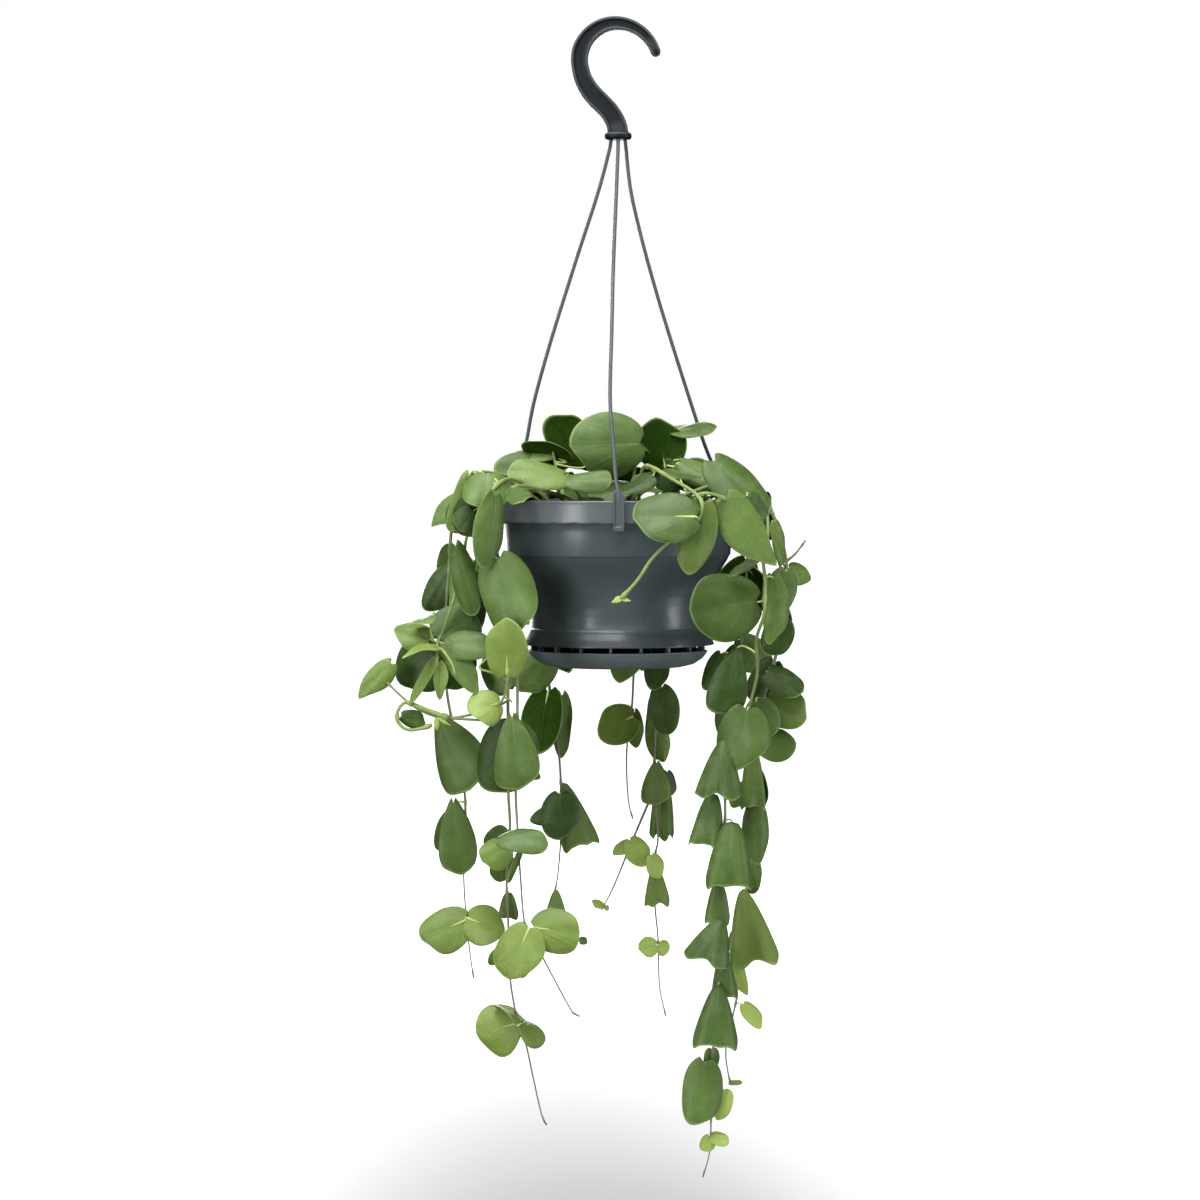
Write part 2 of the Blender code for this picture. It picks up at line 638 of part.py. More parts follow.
VINES = {
    "vine_right_front": (
        [
            (0.5, [(30, -18, -296), (37, -30, -286), (49, -38, -280), (66, -38, -276),
             (81, -42, -279), (88, -52, -291), (89, -62, -307), (86, -70, -322), (87, -76, -336),
             (86, -78, -354), (82, -68, -369), (83, -56, -390), (78, -50, -412), (73, -48, -433),
             (65, -48, -456), (64, -48, -480), (61, -48, -507), (60, -48, -531), (62, -48, -555),
             (61, -48, -579), (58, -48, -609), (56, -48, -629), (56, -47, -659), (55, -47, -680),
             (51, -47, -695)]),
        ],
        [
            ("open", (58, -44, -263), (89, -62, -292), 34, -80, 32, 0),
            ("open", (77, -62, -284), (87, -62, -308), 22, -65, 25, 0),
            ("open", (82, -66, -322), (65, -68, -329), 9, -98, 55, 0),
            ("open", (82, -62, -347), (44, -72, -350), 43, -95, 10, 0),
            ("open", (92, -70, -333), (91, -72, -371), 17, -88, 28, -0.15),
            ("pear", (71, -56, -375), (61, -62, -413), 33, -100, 0, 0),
            ("open", (77, -58, -412), (71, -66, -445), 33, -92, 12, 0),
            ("cape", (63, -54, -430), (60, -58, -465), 28, -105, 0, 0),
            ("hood", (57, -44, -463), (52, -50, -495), 21, -118, 0, 0),
            ("hood", (68, -54, -479), (66, -60, -519), 28, -90, 0, 0),
            ("hood", (60, -50, -516), (59, -52, -541), 15, -95, 0, 0),
            ("cape", (62, -54, -537), (51, -60, -564), 28, -105, 0, 0),
            ("cape", (63, -44, -558), (64, -48, -587), 16, -85, 0, 0),
            ("cape", (60, -54, -577), (58, -60, -615), 27, -92, 0, 0),
            ("open", (52, -52, -625), (48, -60, -661), 26, -92, 12, 0),
            ("open", (57, -46, -618), (57, -46, -635), 13, -60, -15, 0),
            ("open", (58, -46, -658), (65, -48, -642), 16, -90, 25, 0),
            ("open", (55, -47, -670), (52, -49, -679), 10, -95, 30, 0),
            ("open", (56, -47, -670), (67, -49, -672), 10, -88, 30, 0),
            ("open", (38, -26, -264), (66, -36, -276), 16, -95, 52, 0),
        ],
    ),
    "vine_right_side": (
        [
            (0.5, [(44, 8, -297), (59, 2, -284), (75, -4, -276), (89, -12, -285), (97, -18, -304),
             (102, -18, -324), (101, -16, -353), (97, -14, -378), (91, -12, -402), (86, -12, -432),
             (83, -12, -463), (81, -12, -487), (81, -12, -508), (78, -14, -527), (73, -16, -548),
             (71, -16, -571), (73, -16, -586), (70, -16, -603), (66, -16, -622), (67, -16, -635),
             (69, -16, -644)]),
            (0.5, [(102, -18, -324), (108, -18, -319), (114, -18, -311)]),
        ],
        [
            ("open", (100, -22, -325), (99, -26, -300), 13, -30, 15, 0),
            ("open", (104, -18, -328), (117, -20, -334), 17, -80, 25, 0),
            ("open", (102, -24, -330), (95, -32, -355), 21, -75, 10, 0),
            ("open", (100, -22, -359), (93, -24, -381), 21, -100, -25, 0),
            ("open", (91, -20, -391), (113, -24, -401), 23, -92, 36, 0),
            ("open", (95, -10, -386), (84, -4, -412), 22, -95, -10, 0),
            ("open", (92, -16, -408), (114, -22, -418), 27, -86, 18, 0),
            ("open", (84, -26, -409), (92, -32, -430), 22, -95, 10, 0),
            ("open", (85, -12, -435), (108, -14, -434), 22, -90, 30, 0),
            ("hood", (82, -14, -438), (82, -18, -475), 15, -88, 0, 0),
            ("open", (77, -16, -460), (71, -18, -474), 12, -90, -15, 0),
            ("open", (84, -14, -473), (86, -20, -508), 18, -80, 15, 0),
            ("open", (83, -12, -507), (84, -10, -529), 11, -80, 5, 0),
            ("cape", (76, -18, -524), (84, -26, -570), 30, -92, 0, 0),
            ("open", (74, -14, -550), (77, -16, -572), 18, -100, -20, 0),
            ("open", (68, -20, -563), (78, -24, -587), 10, -100, 15, 0),
            ("open", (77, -16, -595), (88, -18, -608), 11, -90, 20, 0),
            ("open", (68, -16, -643), (76, -17, -642), 4, -90, 30, 0),
            ("open", (89, 0, -282), (81, 22, -303), 20, 60, 20, 0),
            ("open", (101, -10, -349), (103, 8, -372), 21, 40, 10, 0),
            ("open", (85, -6, -451), (89, 8, -474), 16, 60, 5, 0),
            ("open", (81, -8, -493), (77, 6, -519), 16, 110, 5, 0),
        ],
    ),
    "vine_right_back": (
        [
            (0.5, [(37, 26, -297), (50, 40, -283), (65, 54, -275), (78, 64, -286), (82, 62, -319),
             (80, 58, -350), (77, 54, -381), (71, 52, -406), (69, 52, -419)]),
        ],
        [
            ("open", (65, 50, -384), (56, 44, -405), 15, -102, -5, 0),
            ("open", (77, 52, -382), (86, 48, -394), 13, -80, 0, 0),
            ("open", (78, 60, -375), (99, 62, -393), 18, -60, -10, 0),
            ("open", (79, 66, -287), (60, 84, -311), 26, 95, 20, 0),
            ("open", (82, 64, -291), (106, 60, -310), 26, 40, 25, 0),
            ("open", (81, 64, -325), (66, 78, -354), 27, 100, 10, 0),
            ("open", (82, 62, -329), (103, 58, -354), 24, 30, 10, 0),
            ("open", (75, 58, -381), (66, 68, -413), 18, 95, 5, 0),
            ("open", (69, 52, -412), (65, 50, -434), 13, -100, 0, 0),
        ],
    ),
    "vine_front_right": (
        [
            (0.95, [(11, -22, -296), (13, -34, -282), (16, -48, -266), (32, -70, -274),
             (46, -86, -283), (49, -90, -291), (43, -92, -302), (29, -94, -311), (19, -95, -321),
             (11, -95, -333), (1, -95, -344)]),
            (0.9, [(46, -86, -283), (51, -86, -282), (57, -84, -283), (64, -80, -286)]),
        ],
        [
            ("wing", (45, -99, -296), (10, -106, -294), 34, -95, 18, 0),
            ("open", (50, -86, -288), (41, -90, -329), 23, -88, 30, 0),
            ("ovate", (64, -80, -286), (93, -86, -322), 30, -85, 18, 0.1),
            ("open", (20, -56, -272), (-1, -62, -279), 21, -92, 62, 0),
            ("open", (21, -48, -270), (7, -36, -272), 17, -90, 72, 0),
            ("open", (29, -60, -270), (49, -54, -268), 18, -90, 60, 0),
            ("ovate", (2, -95, -343), (-4, -96, -346), 4, -90, 30, 0),
            ("ovate", (2, -95, -344), (7, -96, -345), 3, -90, 20, 0),
            ("ovate", (2, -95, -343), (-3, -93, -343), 3, -90, 40, 0),
        ],
    ),
    "vine_front_top": (
        [
            (0.6, [(-18, -32, -296), (-22, -42, -286), (-29, -48, -276), (-31, -48, -272)]),
        ],
        [
            ("open", (-29, -50, -273), (-64, -57, -265), 23, -92, 50, 0),
            ("open", (-32, -52, -274), (-4, -60, -272), 17, -88, 52, 0),
            ("open", (-31, -48, -270), (-40, -30, -273), 16, -90, 80, 0),
            ("open", (-22, -42, -285), (-11, -58, -286), 16, -90, 70, 0),
        ],
    ),
    "vine_top_left": (
        [
            (0.6, [(-32, 2, -296), (-34, 6, -282), (-38, 10, -267), (-40, 12, -257)]),
        ],
        [
            ("open", (-20, 22, -263), (-38, 24, -234), 28, 95, 30, 0),
            ("open", (-32, 16, -263), (-58, 12, -251), 20, 95, 30, 0),
            ("open", (-40, 6, -271), (-74, 2, -265), 28, -95, 35, 0),
            ("open", (-40, 14, -259), (-62, 14, -254), 18, -95, 70, 0),
            ("open", (-34, 8, -282), (-13, 22, -278), 24, -70, 75, 0),
        ],
    ),
    "vine_top_middle": (
        [
            (0.6, [(6, -4, -296), (9, -8, -278), (11, -12, -259), (11, -14, -249)]),
        ],
        [
            ("open", (13, -16, -252), (-26, -24, -253), 43, -92, 4, 0),
            ("open", (12, -12, -250), (19, -4, -256), 12, -80, 60, 0),
            ("open", (8, -10, -278), (-18, -14, -279), 22, -90, 60, 0),
            ("open", (10, -8, -277), (26, 2, -279), 21, -60, 75, 0),
        ],
    ),
    "vine_top_right": (
        [
            (0.6, [(28, 10, -297), (30, 10, -279), (32, 10, -261), (34, 10, -246), (35, 10, -242)]),
        ],
        [
            ("open", (29, 6, -267), (24, 8, -238), 32, 95, 30, 0),
            ("open", (34, 10, -245), (59, 8, -238), 22, -88, 74, 0),
            ("open", (31, 18, -243), (48, 19, -238), 13, -80, 70, 0),
            ("open", (35, -8, -266), (67, -2, -270), 21, -85, 50, 0),
            ("open", (41, -2, -265), (50, 0, -281), 27, -85, -25, 0),
            ("open", (27, 6, -264), (35, 2, -282), 21, -95, -10, 0),
        ],
    ),
    "vine_top_back": (
        [
            (0.6, [(-4, 34, -297), (-6, 40, -281), (-11, 46, -266), (-13, 50, -257)]),
        ],
        [
            ("open", (-8, 50, -268), (14, 66, -257), 26, 60, 60, 0),
            ("open", (-11, 50, -263), (-36, 70, -257), 26, 120, 60, 0),
            ("open", (-13, 52, -258), (-13, 70, -244), 23, -90, 60, 0),
            ("open", (-5, 42, -280), (15, 54, -275), 22, 0, 75, 0),
            ("open", (-7, 32, -286), (-26, 44, -280), 21, 180, 75, 0),
            ("open", (-7, 44, -273), (31, 40, -268), 24, 60, 50, 0),
            ("open", (-8, 40, -278), (-36, 36, -270), 21, 120, 50, 0),
        ],
    ),
    "vine_top_side": (
        [
            (0.6, [(-48, 24, -297), (-49, 30, -283), (-52, 36, -273), (-53, 38, -266)]),
        ],
        [
            ("open", (-52, 40, -273), (-61, 66, -271), 22, 90, 60, 0),
            ("open", (-52, 39, -267), (-35, 46, -260), 22, 0, 60, 0),
            ("open", (-49, 30, -284), (-60, 10, -282), 18, 180, 75, 0),
        ],
    ),
    "vine_top_rim": (
        [
            (0.6, [(53, 20, -297), (54, 21, -283), (56, 19, -273), (58, 16, -268)]),
        ],
        [
            ("open", (58, 17, -270), (77, 30, -267), 22, 20, 65, 0),
            ("open", (57, 19, -275), (68, 16, -282), 17, -60, 60, 0),
            ("open", (54, 20, -284), (45, 4, -281), 16, -90, 72, 0),
        ],
    ),
    "vine_left_outer": (
        [
            (0.5, [(-40, 4, -297), (-46, -2, -284), (-60, -8, -274), (-72, -14, -271),
             (-85, -20, -270), (-95, -24, -280), (-101, -24, -305), (-102, -24, -323),
             (-104, -22, -347), (-106, -20, -374), (-104, -20, -404), (-100, -20, -426),
             (-96, -20, -450), (-93, -20, -471), (-94, -20, -516), (-92, -20, -546),
             (-90, -20, -565), (-88, -20, -578)]),
        ],
        [
            ("ovate", (-92, -26, -285), (-113, -30, -299), 23, -100, 35, 0),
            ("open", (-89, -40, -283), (-96, -36, -307), 24, -60, -10, 0),
            ("open", (-102, -22, -316), (-108, -12, -342), 17, -110, -15, 0),
            ("cape", (-98, -28, -314), (-93, -34, -354), 17, -80, 0, 0),
            ("open", (-102, -22, -329), (-116, -20, -354), 21, -120, -25, 0),
            ("open", (-94, -18, -341), (-90, 0, -375), 27, -85, -5, 0),
            ("open", (-88, -24, -324), (-84, -18, -354), 21, -85, -10, 0),
            ("pear", (-108, -24, -420), (-90, -34, -461), 46, -95, 12, -0.05),
            ("pear", (-100, -24, -471), (-96, -32, -512), 34, -92, 8, 0),
            ("open", (-99, -14, -478), (-110, -8, -503), 18, -100, -10, 0),
            ("wing", (-92, -24, -542), (-119, -28, -552), 29, -92, 22, 0),
            ("wing", (-91, -26, -541), (-70, -30, -548), 28, -88, 22, 0),
            ("open", (-101, -18, -323), (-95, 6, -348), 22, 20, 10, 0),
            ("open", (-106, -14, -371), (-115, 8, -397), 23, 150, 10, 0),
        ],
    ),
    "vine_left_cluster": (
        [
            (0.6, [(-42, -16, -296), (-51, -24, -285), (-64, -38, -276), (-77, -50, -272),
             (-86, -53, -285), (-91, -54, -310), (-97, -55, -340), (-106, -54, -367),
             (-108, -54, -376)]),
            (0.6, [(-107, -54, -371), (-109, -58, -372), (-111, -62, -369), (-112, -62, -360),
             (-110, -58, -353)]),
            (0.7, [(-106, -54, -367), (-108, -60, -371), (-108, -66, -376), (-108, -70, -385)]),
            (0.5, [(-108, -64, -374), (-105, -67, -375), (-101, -71, -380), (-98, -74, -385),
             (-97, -76, -390)]),
        ],
        [
            ("open", (-104, -58, -373), (-77, -66, -370), 22, -90, 30, 0),
            ("open", (-107, -46, -370), (-87, -38, -352), 30, -95, 12, 0),
            ("open", (-112, -58, -355), (-121, -66, -358), 16, -150, 20, 0),
            ("open", (-113, -60, -369), (-133, -58, -361), 24, -92, 40, 0),
            ("trough", (-108, -66, -374), (-126, -84, -376), 12, -92, 55, 0),
            ("open", (-110, -50, -377), (-132, -46, -396), 37, -102, 5, 0),
            ("open", (-103, -48, -379), (-93, -44, -400), 30, -95, 5, 0),
            ("trough", (-109, -68, -381), (-125, -72, -407), 10, -110, 20, 0),
            ("trough", (-107, -66, -383), (-105, -70, -404), 11, -70, 5, 0),
            ("open", (-104, -60, -372), (-83, -70, -397), 16, -75, 20, 0),
            ("open", (-97, -60, -314), (-85, -64, -355), 16, -86, 14, 0),
        ],
    ),
    "vine_left_front": (
        [
            (0.5, [(-28, -16, -296), (-35, -28, -285), (-52, -48, -278), (-67, -70, -274),
             (-77, -78, -286), (-77, -78, -310), (-72, -72, -339), (-67, -66, -369),
             (-66, -60, -405), (-66, -56, -457), (-65, -54, -483), (-67, -54, -512),
             (-66, -54, -542), (-65, -54, -572), (-63, -54, -587), (-60, -54, -602),
             (-56, -54, -611), (-51, -54, -634), (-46, -54, -656), (-43, -54, -662)]),
            (0.6, [(-66, -60, -406), (-76, -64, -411), (-88, -66, -414), (-101, -66, -416),
             (-112, -66, -414), (-122, -66, -409), (-133, -62, -400), (-139, -60, -394)]),
            (0.5, [(-101, -66, -416), (-85, -68, -417), (-72, -68, -418)]),
            (1.4, [(-127, -67, -406), (-117, -68, -410), (-109, -68, -413), (-101, -67, -416)]),
            (1.0, [(-126, -66, -406), (-130, -67, -409), (-132, -67, -415), (-130, -67, -420),
             (-125, -67, -423), (-117, -67, -422), (-111, -67, -420)]),
            (0.7, [(-65, -86, -385), (-66, -81, -395), (-68, -75, -403), (-71, -71, -407),
             (-76, -64, -411)]),
            (0.5, [(-68, -75, -403), (-65, -76, -404), (-63, -76, -406)]),
            (0.5, [(-66, -62, -394), (-75, -67, -389), (-83, -67, -386), (-78, -66, -380)]),
        ],
        [
            ("open", (-78, -70, -271), (-80, -86, -288), 29, -92, 38, 0),
            ("open", (-83, -68, -285), (-90, -63, -309), 26, -85, -15, 0),
            ("open", (-89, -60, -272), (-99, -64, -305), 13, -75, 25, 0),
            ("open", (-73, -82, -284), (-74, -90, -325), 23, -55, 5, 0),
            ("open", (-71, -78, -321), (-59, -92, -363), 35, -92, 10, 0),
            ("wing", (-66, -84, -389), (-66, -98, -358), 26, -90, 12, 0),
            ("open", (-67, -56, -399), (-81, -48, -376), 24, -92, -15, 0),
            ("wing", (-71, -68, -407), (-88, -74, -411), 24, -92, 16, 0),
            ("open", (-64, -52, -422), (-72, -46, -464), 38, -98, 0, 0),
            ("open", (-66, -58, -487), (-81, -52, -496), 20, -98, 5, 0),
            ("open", (-66, -62, -493), (-81, -68, -500), 21, -95, 22, 0),
            ("open", (-67, -48, -501), (-73, -42, -518), 16, -95, -15, 0),
            ("hood", (-66, -50, -522), (-66, -46, -538), 12, -92, 0, 0),
            ("open", (-66, -50, -555), (-78, -46, -566), 10, -100, 0, 0),
            ("wing", (-61, -53, -601), (-85, -52, -606), 32, -94, 24, 0),
            ("wing", (-60, -67, -600), (-53, -46, -598), 38, -24, 36, 0),
            ("ovate", (-136, -60, -384), (-155, -64, -403), 17, -92, 20, 0),
            ("open", (-129, -66, -415), (-116, -68, -420), 12, -90, -20, 0),
            ("ovate", (-108, -69, -416), (-108, -70, -423), 4, -90, 10, 0),
            ("ovate", (-106, -69, -416), (-100, -70, -420), 3, -90, 40, 0),
            ("open", (-77, -74, -310), (-88, -56, -326), 21, -150, 10, 0),
            ("open", (-86, -72, -293), (-94, -74, -304), 17, -92, -15, 0),
        ],
    ),
    "vine_left_inner": (
        [
            (0.5, [(-13, -4, -296), (-23, -20, -288), (-40, -48, -282), (-60, -78, -278),
             (-70, -68, -289), (-73, -64, -313), (-66, -58, -340), (-61, -64, -375),
             (-60, -72, -404), (-61, -76, -455), (-60, -76, -480), (-58, -76, -513),
             (-56, -76, -536), (-52, -76, -546), (-46, -76, -556), (-36, -76, -575),
             (-27, -76, -591), (-23, -76, -593)]),
        ],
        [
            ("pear", (-63, -80, -415), (-59, -90, -455), 39, -90, 4, 0),
            ("open", (-59, -72, -444), (-46, -70, -451), 9, -90, 10, 0),
            ("open", (-70, -80, -487), (-43, -88, -484), 19, -88, 48, 0),
            ("open", (-58, -78, -496), (-63, -80, -514), 10, -20, 0, 0),
            ("wing", (-53, -80, -540), (-66, -88, -567), 30, -94, 14, 0),
            ("wing", (-50, -78, -540), (-23, -82, -542), 28, -86, 14, 0),
            ("open", (-56, -72, -558), (-58, -70, -571), 11, -90, 0, 0),
            ("open", (-61, -82, -279), (-56, -101, -284), 16, -90, 55, 0),
        ],
    ),
    "vine_back_left": (
        [
            (0.5, [(-34, 28, -297), (-37, 46, -282), (-40, 64, -275), (-45, 84, -287),
             (-46, 86, -325), (-45, 82, -376), (-43, 78, -407), (-39, 76, -432), (-36, 76, -464),
             (-36, 76, -502), (-38, 76, -527), (-40, 76, -540), (-37, 76, -555), (-31, 76, -566),
             (-24, 76, -568)]),
        ],
        [
            ("open", (-44, 74, -385), (-61, 66, -407), 26, -97, 0, 0),
            ("open", (-44, 74, -409), (-52, 68, -448), 27, 85, 15, 0),
            ("open", (-35, 80, -412), (-33, 84, -452), 15, -70, 0, 0),
            ("open", (-36, 70, -474), (-37, 62, -500), 27, -92, 10, 0),
            ("cape", (-34, 76, -467), (-22, 74, -508), 24, -75, 0, 0),
            ("open", (-38, 80, -485), (-55, 84, -493), 12, -95, 0, 0),
            ("cape", (-39, 76, -535), (-39, 74, -553), 13, -92, 0, 0),
            ("open", (-44, 88, -285), (-67, 92, -309), 26, 130, 15, 0),
            ("open", (-45, 90, -287), (-29, 102, -313), 27, 80, 15, 0),
            ("open", (-47, 90, -332), (-62, 98, -363), 27, 110, 8, 0),
            ("open", (-46, 90, -336), (-28, 100, -364), 26, 70, 8, 0),
            ("open", (-45, 86, -370), (-30, 92, -394), 24, 70, 5, 0),
            ("open", (-24, 76, -568), (-19, 76, -567), 6, -90, 20, 0),
        ],
    ),
    "vine_back_middle": (
        [
            (0.5, [(5, 40, -297), (7, 58, -282), (9, 76, -275), (11, 90, -287), (11, 92, -326),
             (11, 88, -376), (10, 86, -408), (9, 86, -422), (6, 86, -449), (7, 86, -478),
             (10, 86, -491)]),
        ],
        [
            ("open", (10, 84, -376), (2, 78, -402), 21, -92, 0, 0),
            ("open", (10, 84, -425), (-13, 82, -435), 29, 88, 14, 0),
            ("open", (11, 88, -423), (14, 96, -446), 12, -60, -5, 0),
            ("open", (11, 94, -287), (-8, 103, -313), 27, 100, 15, 0),
            ("open", (13, 94, -291), (30, 108, -318), 26, 75, 15, 0),
            ("open", (11, 96, -338), (-6, 104, -368), 26, 95, 8, 0),
            ("open", (12, 96, -343), (27, 104, -373), 26, 80, 8, 0),
            ("open", (11, 92, -370), (16, 103, -395), 21, 85, 5, 0),
        ],
    ),
    "vine_back_right": (
        [
            (0.5, [(21, 32, -297), (25, 50, -282), (32, 68, -275), (40, 82, -287), (38, 84, -325),
             (32, 82, -376), (27, 82, -408), (24, 82, -439), (24, 82, -477), (26, 82, -502),
             (24, 82, -516), (24, 82, -544), (26, 82, -567), (27, 82, -597), (31, 82, -617)]),
            (0.5, [(24, 82, -471), (20, 82, -480), (9, 82, -506), (-2, 82, -533), (-10, 82, -549)]),
        ],
        [
            ("open", (26, 84, -384), (24, 76, -407), 17, -92, 0, 0),
            ("open", (28, 80, -407), (33, 74, -436), 20, -88, 0, 0),
            ("open", (24, 84, -414), (22, 86, -453), 15, -115, 0, 0),
            ("open", (28, 84, -435), (29, 86, -455), 11, -92, -10, 0),
            ("pear", (25, 80, -455), (24, 74, -480), 27, -95, 8, 0),
            ("open", (32, 84, -461), (36, 84, -475), 11, -60, -10, 0),
            ("hood", (26, 84, -472), (25, 86, -503), 9, -80, 0, 0),
            ("hood", (32, 84, -471), (32, 88, -504), 10, -60, 0, 0),
            ("open", (22, 74, -513), (27, 69, -526), 12, -90, 32, 0),
            ("cape", (24, 80, -519), (25, 76, -546), 16, -92, 0, 0),
            ("wing", (25, 80, -571), (14, 78, -572), 14, -92, 26, 0),
            ("wing", (26, 80, -571), (33, 78, -574), 11, -88, 20, 0),
            ("open", (7, 80, -505), (-3, 80, -512), 10, -92, 38, 0),
            ("open", (8, 78, -504), (20, 76, -518), 18, -88, 34, 0),
            ("open", (-9, 81, -546), (-16, 80, -543), 6, -90, 20, 0),
            ("open", (-8, 82, -547), (-5, 82, -548), 4, -90, 10, 0),
            ("open", (40, 86, -287), (58, 94, -313), 26, 60, 15, 0),
            ("open", (39, 88, -294), (23, 98, -323), 26, 100, 15, 0),
            ("open", (38, 88, -332), (55, 94, -364), 26, 60, 8, 0),
            ("open", (34, 88, -355), (26, 98, -380), 22, 95, 5, 0),
        ],
    ),
}


def seated(stem):
    """The stem with its first point on the soil, and one straight above it."""
    x, y, _ = stem[0]
    ground = soil_height(math.hypot(x, y)) + GAP + 0.3
    return [(x, y, ground), (x, y, ground + 5), *stem[1:]]


def build_vine(name, stems, leaves, parts, material):
    helpers = new_collection(f"leaves_of_{name}", is_helper=True)
    routes = []
    for number, (tip_radius, stem) in enumerate(stems):
        points = seated(stem) if number == 0 else stem
        route = smooth_route(points, 26)
        routes.append(route)
        last = len(route) - 1
        base = STEM_RADIUS if number == 0 else max(tip_radius, STEM_RADIUS * 0.75)
        radii = [base + (tip_radius - base) * (i / last) ** STEM_TAPER for i in range(last + 1)]
        where = parts if number == 0 else helpers
        made = tube(name if number == 0 else f"{name}_side_{number}", route, radii, 0, where)
        if number:
            mark_helper(made)
        else:
            vine = made
    vine.data.materials.append(material)
    for number, row in enumerate(leaves, 1):
        leaf_object(f"{name}_leaf_{number:02d}", row, routes, helpers)
    add_boolean(vine, helpers, "UNION")
    return vine


def main():
    clear_scene()
    parts = new_collection("potted_dischidia")
    cutters = new_collection("cutters", is_helper=True)
    black_plastic = new_material("hook_plastic", (0.018, 0.024, 0.028), 0.42)
    strand_plastic = new_material("strand_plastic", (0.13, 0.14, 0.15), 0.45)
    pot_plastic = new_material("pot_plastic", (0.055, 0.075, 0.088), 0.38)
    soil_mix = new_material("potting_mix", (0.03, 0.018, 0.011), 0.95)
    foliage = new_material("foliage", (0.11, 0.24, 0.045), 0.45)
    build_hook(parts, cutters, black_plastic)
    for side in STRAND_ANGLES:
        build_strand(side, parts, cutters, strand_plastic)
    build_pot(parts, cutters, pot_plastic)
    build_saucer(parts, pot_plastic)
    build_soil(parts, soil_mix)
    for name, (stems, leaves) in VINES.items():
        build_vine(name, stems, leaves, parts, foliage)


main()
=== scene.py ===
# %% [markdown]
# # A trailing dischidia in its hanging pot
#
# The plant hangs from a black swan-neck hook on three thin moulded strands. A slate grey nursery
# pot with a clip-on saucer holds the potting mix, and long vines with round fleshy leaves fall
# over its rim. The imported model gives every piece its real size and place. This lesson replaces
# its plain solids with finely made ones and gives each of them a finish.
#
# We load that model first.

# %% Load the frame
import math

import bmesh
import bpy
import numpy as np
from mathutils import Matrix, Vector


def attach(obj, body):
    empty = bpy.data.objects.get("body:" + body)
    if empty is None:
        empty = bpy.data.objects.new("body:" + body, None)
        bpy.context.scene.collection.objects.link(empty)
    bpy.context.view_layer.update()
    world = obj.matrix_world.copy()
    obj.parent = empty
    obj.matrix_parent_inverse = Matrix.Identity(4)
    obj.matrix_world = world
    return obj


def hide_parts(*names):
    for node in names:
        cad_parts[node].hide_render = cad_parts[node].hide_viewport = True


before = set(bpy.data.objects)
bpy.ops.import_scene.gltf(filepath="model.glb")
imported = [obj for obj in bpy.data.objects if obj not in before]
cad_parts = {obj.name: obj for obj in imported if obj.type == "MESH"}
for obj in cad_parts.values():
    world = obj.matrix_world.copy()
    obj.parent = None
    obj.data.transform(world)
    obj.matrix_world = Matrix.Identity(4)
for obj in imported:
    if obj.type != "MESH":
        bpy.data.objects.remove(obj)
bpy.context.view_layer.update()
MM = 0.001  # sizes below are in millimetres

# %% [markdown]
# ## Camera, floor and light
#
# A hanging plant is usually pictured at eye level with a long lens, which keeps the pot's rim
# nearly flat and the vines upright. The camera stands 2.2 m away, level with the pot's top, and
# looks down a little.
#
# A white room has no visible edges. The floor glows by itself, more the further it runs, so that
# it meets the white air with no horizon. Below the plant it is left darker, to stand for a soft
# shadow that a floor this bright would swallow. Neither it nor the white world may light the plant
# from below, or every leaf would look flat: the floor is hidden from bounced light, and the world
# is white to look at but dim as a lamp. The shape comes from a big softbox overhead, a wide fill
# in front, and a tall softbox on each side, whose reflections draw the upright streaks on the
# glossy pot. A low lamp that is never mirrored stands for the light that a pale floor throws back,
# and a large fill behind keeps the far side from going black.

# %% Camera
CAMERA_PLACE = Vector((-11, -2200, -270)) * MM
CAMERA_TARGET = Vector((-11, 0, -348)) * MM
FOCAL_LENGTH, SENSOR_WIDTH = 107.7, 36


def turned_to(place, target):
    """The rotation of a camera or lamp at `place` that looks at `target`."""
    return (target - place).to_track_quat("-Z", "Y").to_euler()


camera_data = bpy.data.cameras.new("camera")
camera_data.lens = FOCAL_LENGTH
camera_data.sensor_width = SENSOR_WIDTH
camera_data.dof.use_dof = False
camera = bpy.data.objects.new("camera", camera_data)
camera.location = CAMERA_PLACE
camera.rotation_euler = turned_to(CAMERA_PLACE, CAMERA_TARGET)
scene = bpy.context.scene
scene.collection.objects.link(camera)
scene.camera = camera
scene.view_settings.view_transform = "Standard"
print("camera", round((CAMERA_TARGET - CAMERA_PLACE).length, 3), "m from the pot's axis")

# %% [markdown]
# Every finish below is a small node network. Writing the networks as arithmetic keeps them short:
# a `Wire` is the output of a node, and adding or multiplying two wires adds the Math node that
# does it. A `Finish` owns one material, and its `node` method makes any other kind of node.

# %% Wires and finishes


class Wire:
    """The output of a shader node, which Python arithmetic works on."""

    def __init__(self, finish, socket):
        self.finish, self.socket = finish, socket

    def math(self, operation, *inputs):
        return self.finish.node("ShaderNodeMath", {"operation": operation}, dict(enumerate(inputs)))

    def __add__(self, other):
        return self.math("ADD", self, other)

    def __sub__(self, other):
        return self.math("SUBTRACT", self, other)

    def __rsub__(self, other):
        return self.math("SUBTRACT", other, self)

    def __mul__(self, other):
        return self.math("MULTIPLY", self, other)

    def __abs__(self):
        return self.math("ABSOLUTE", self)

    __radd__, __rmul__ = __add__, __mul__

    def least(self, other):
        return self.math("MINIMUM", self, other)

    def most(self, other):
        return self.math("MAXIMUM", self, other)

    def rising(self, start, end):
        """0 below start, 1 above end, and smooth between them."""
        return self.finish.node(
            "ShaderNodeMapRange",
            {"interpolation_type": "SMOOTHSTEP"},
            {"Value": self, "From Min": start, "From Max": end},
        )


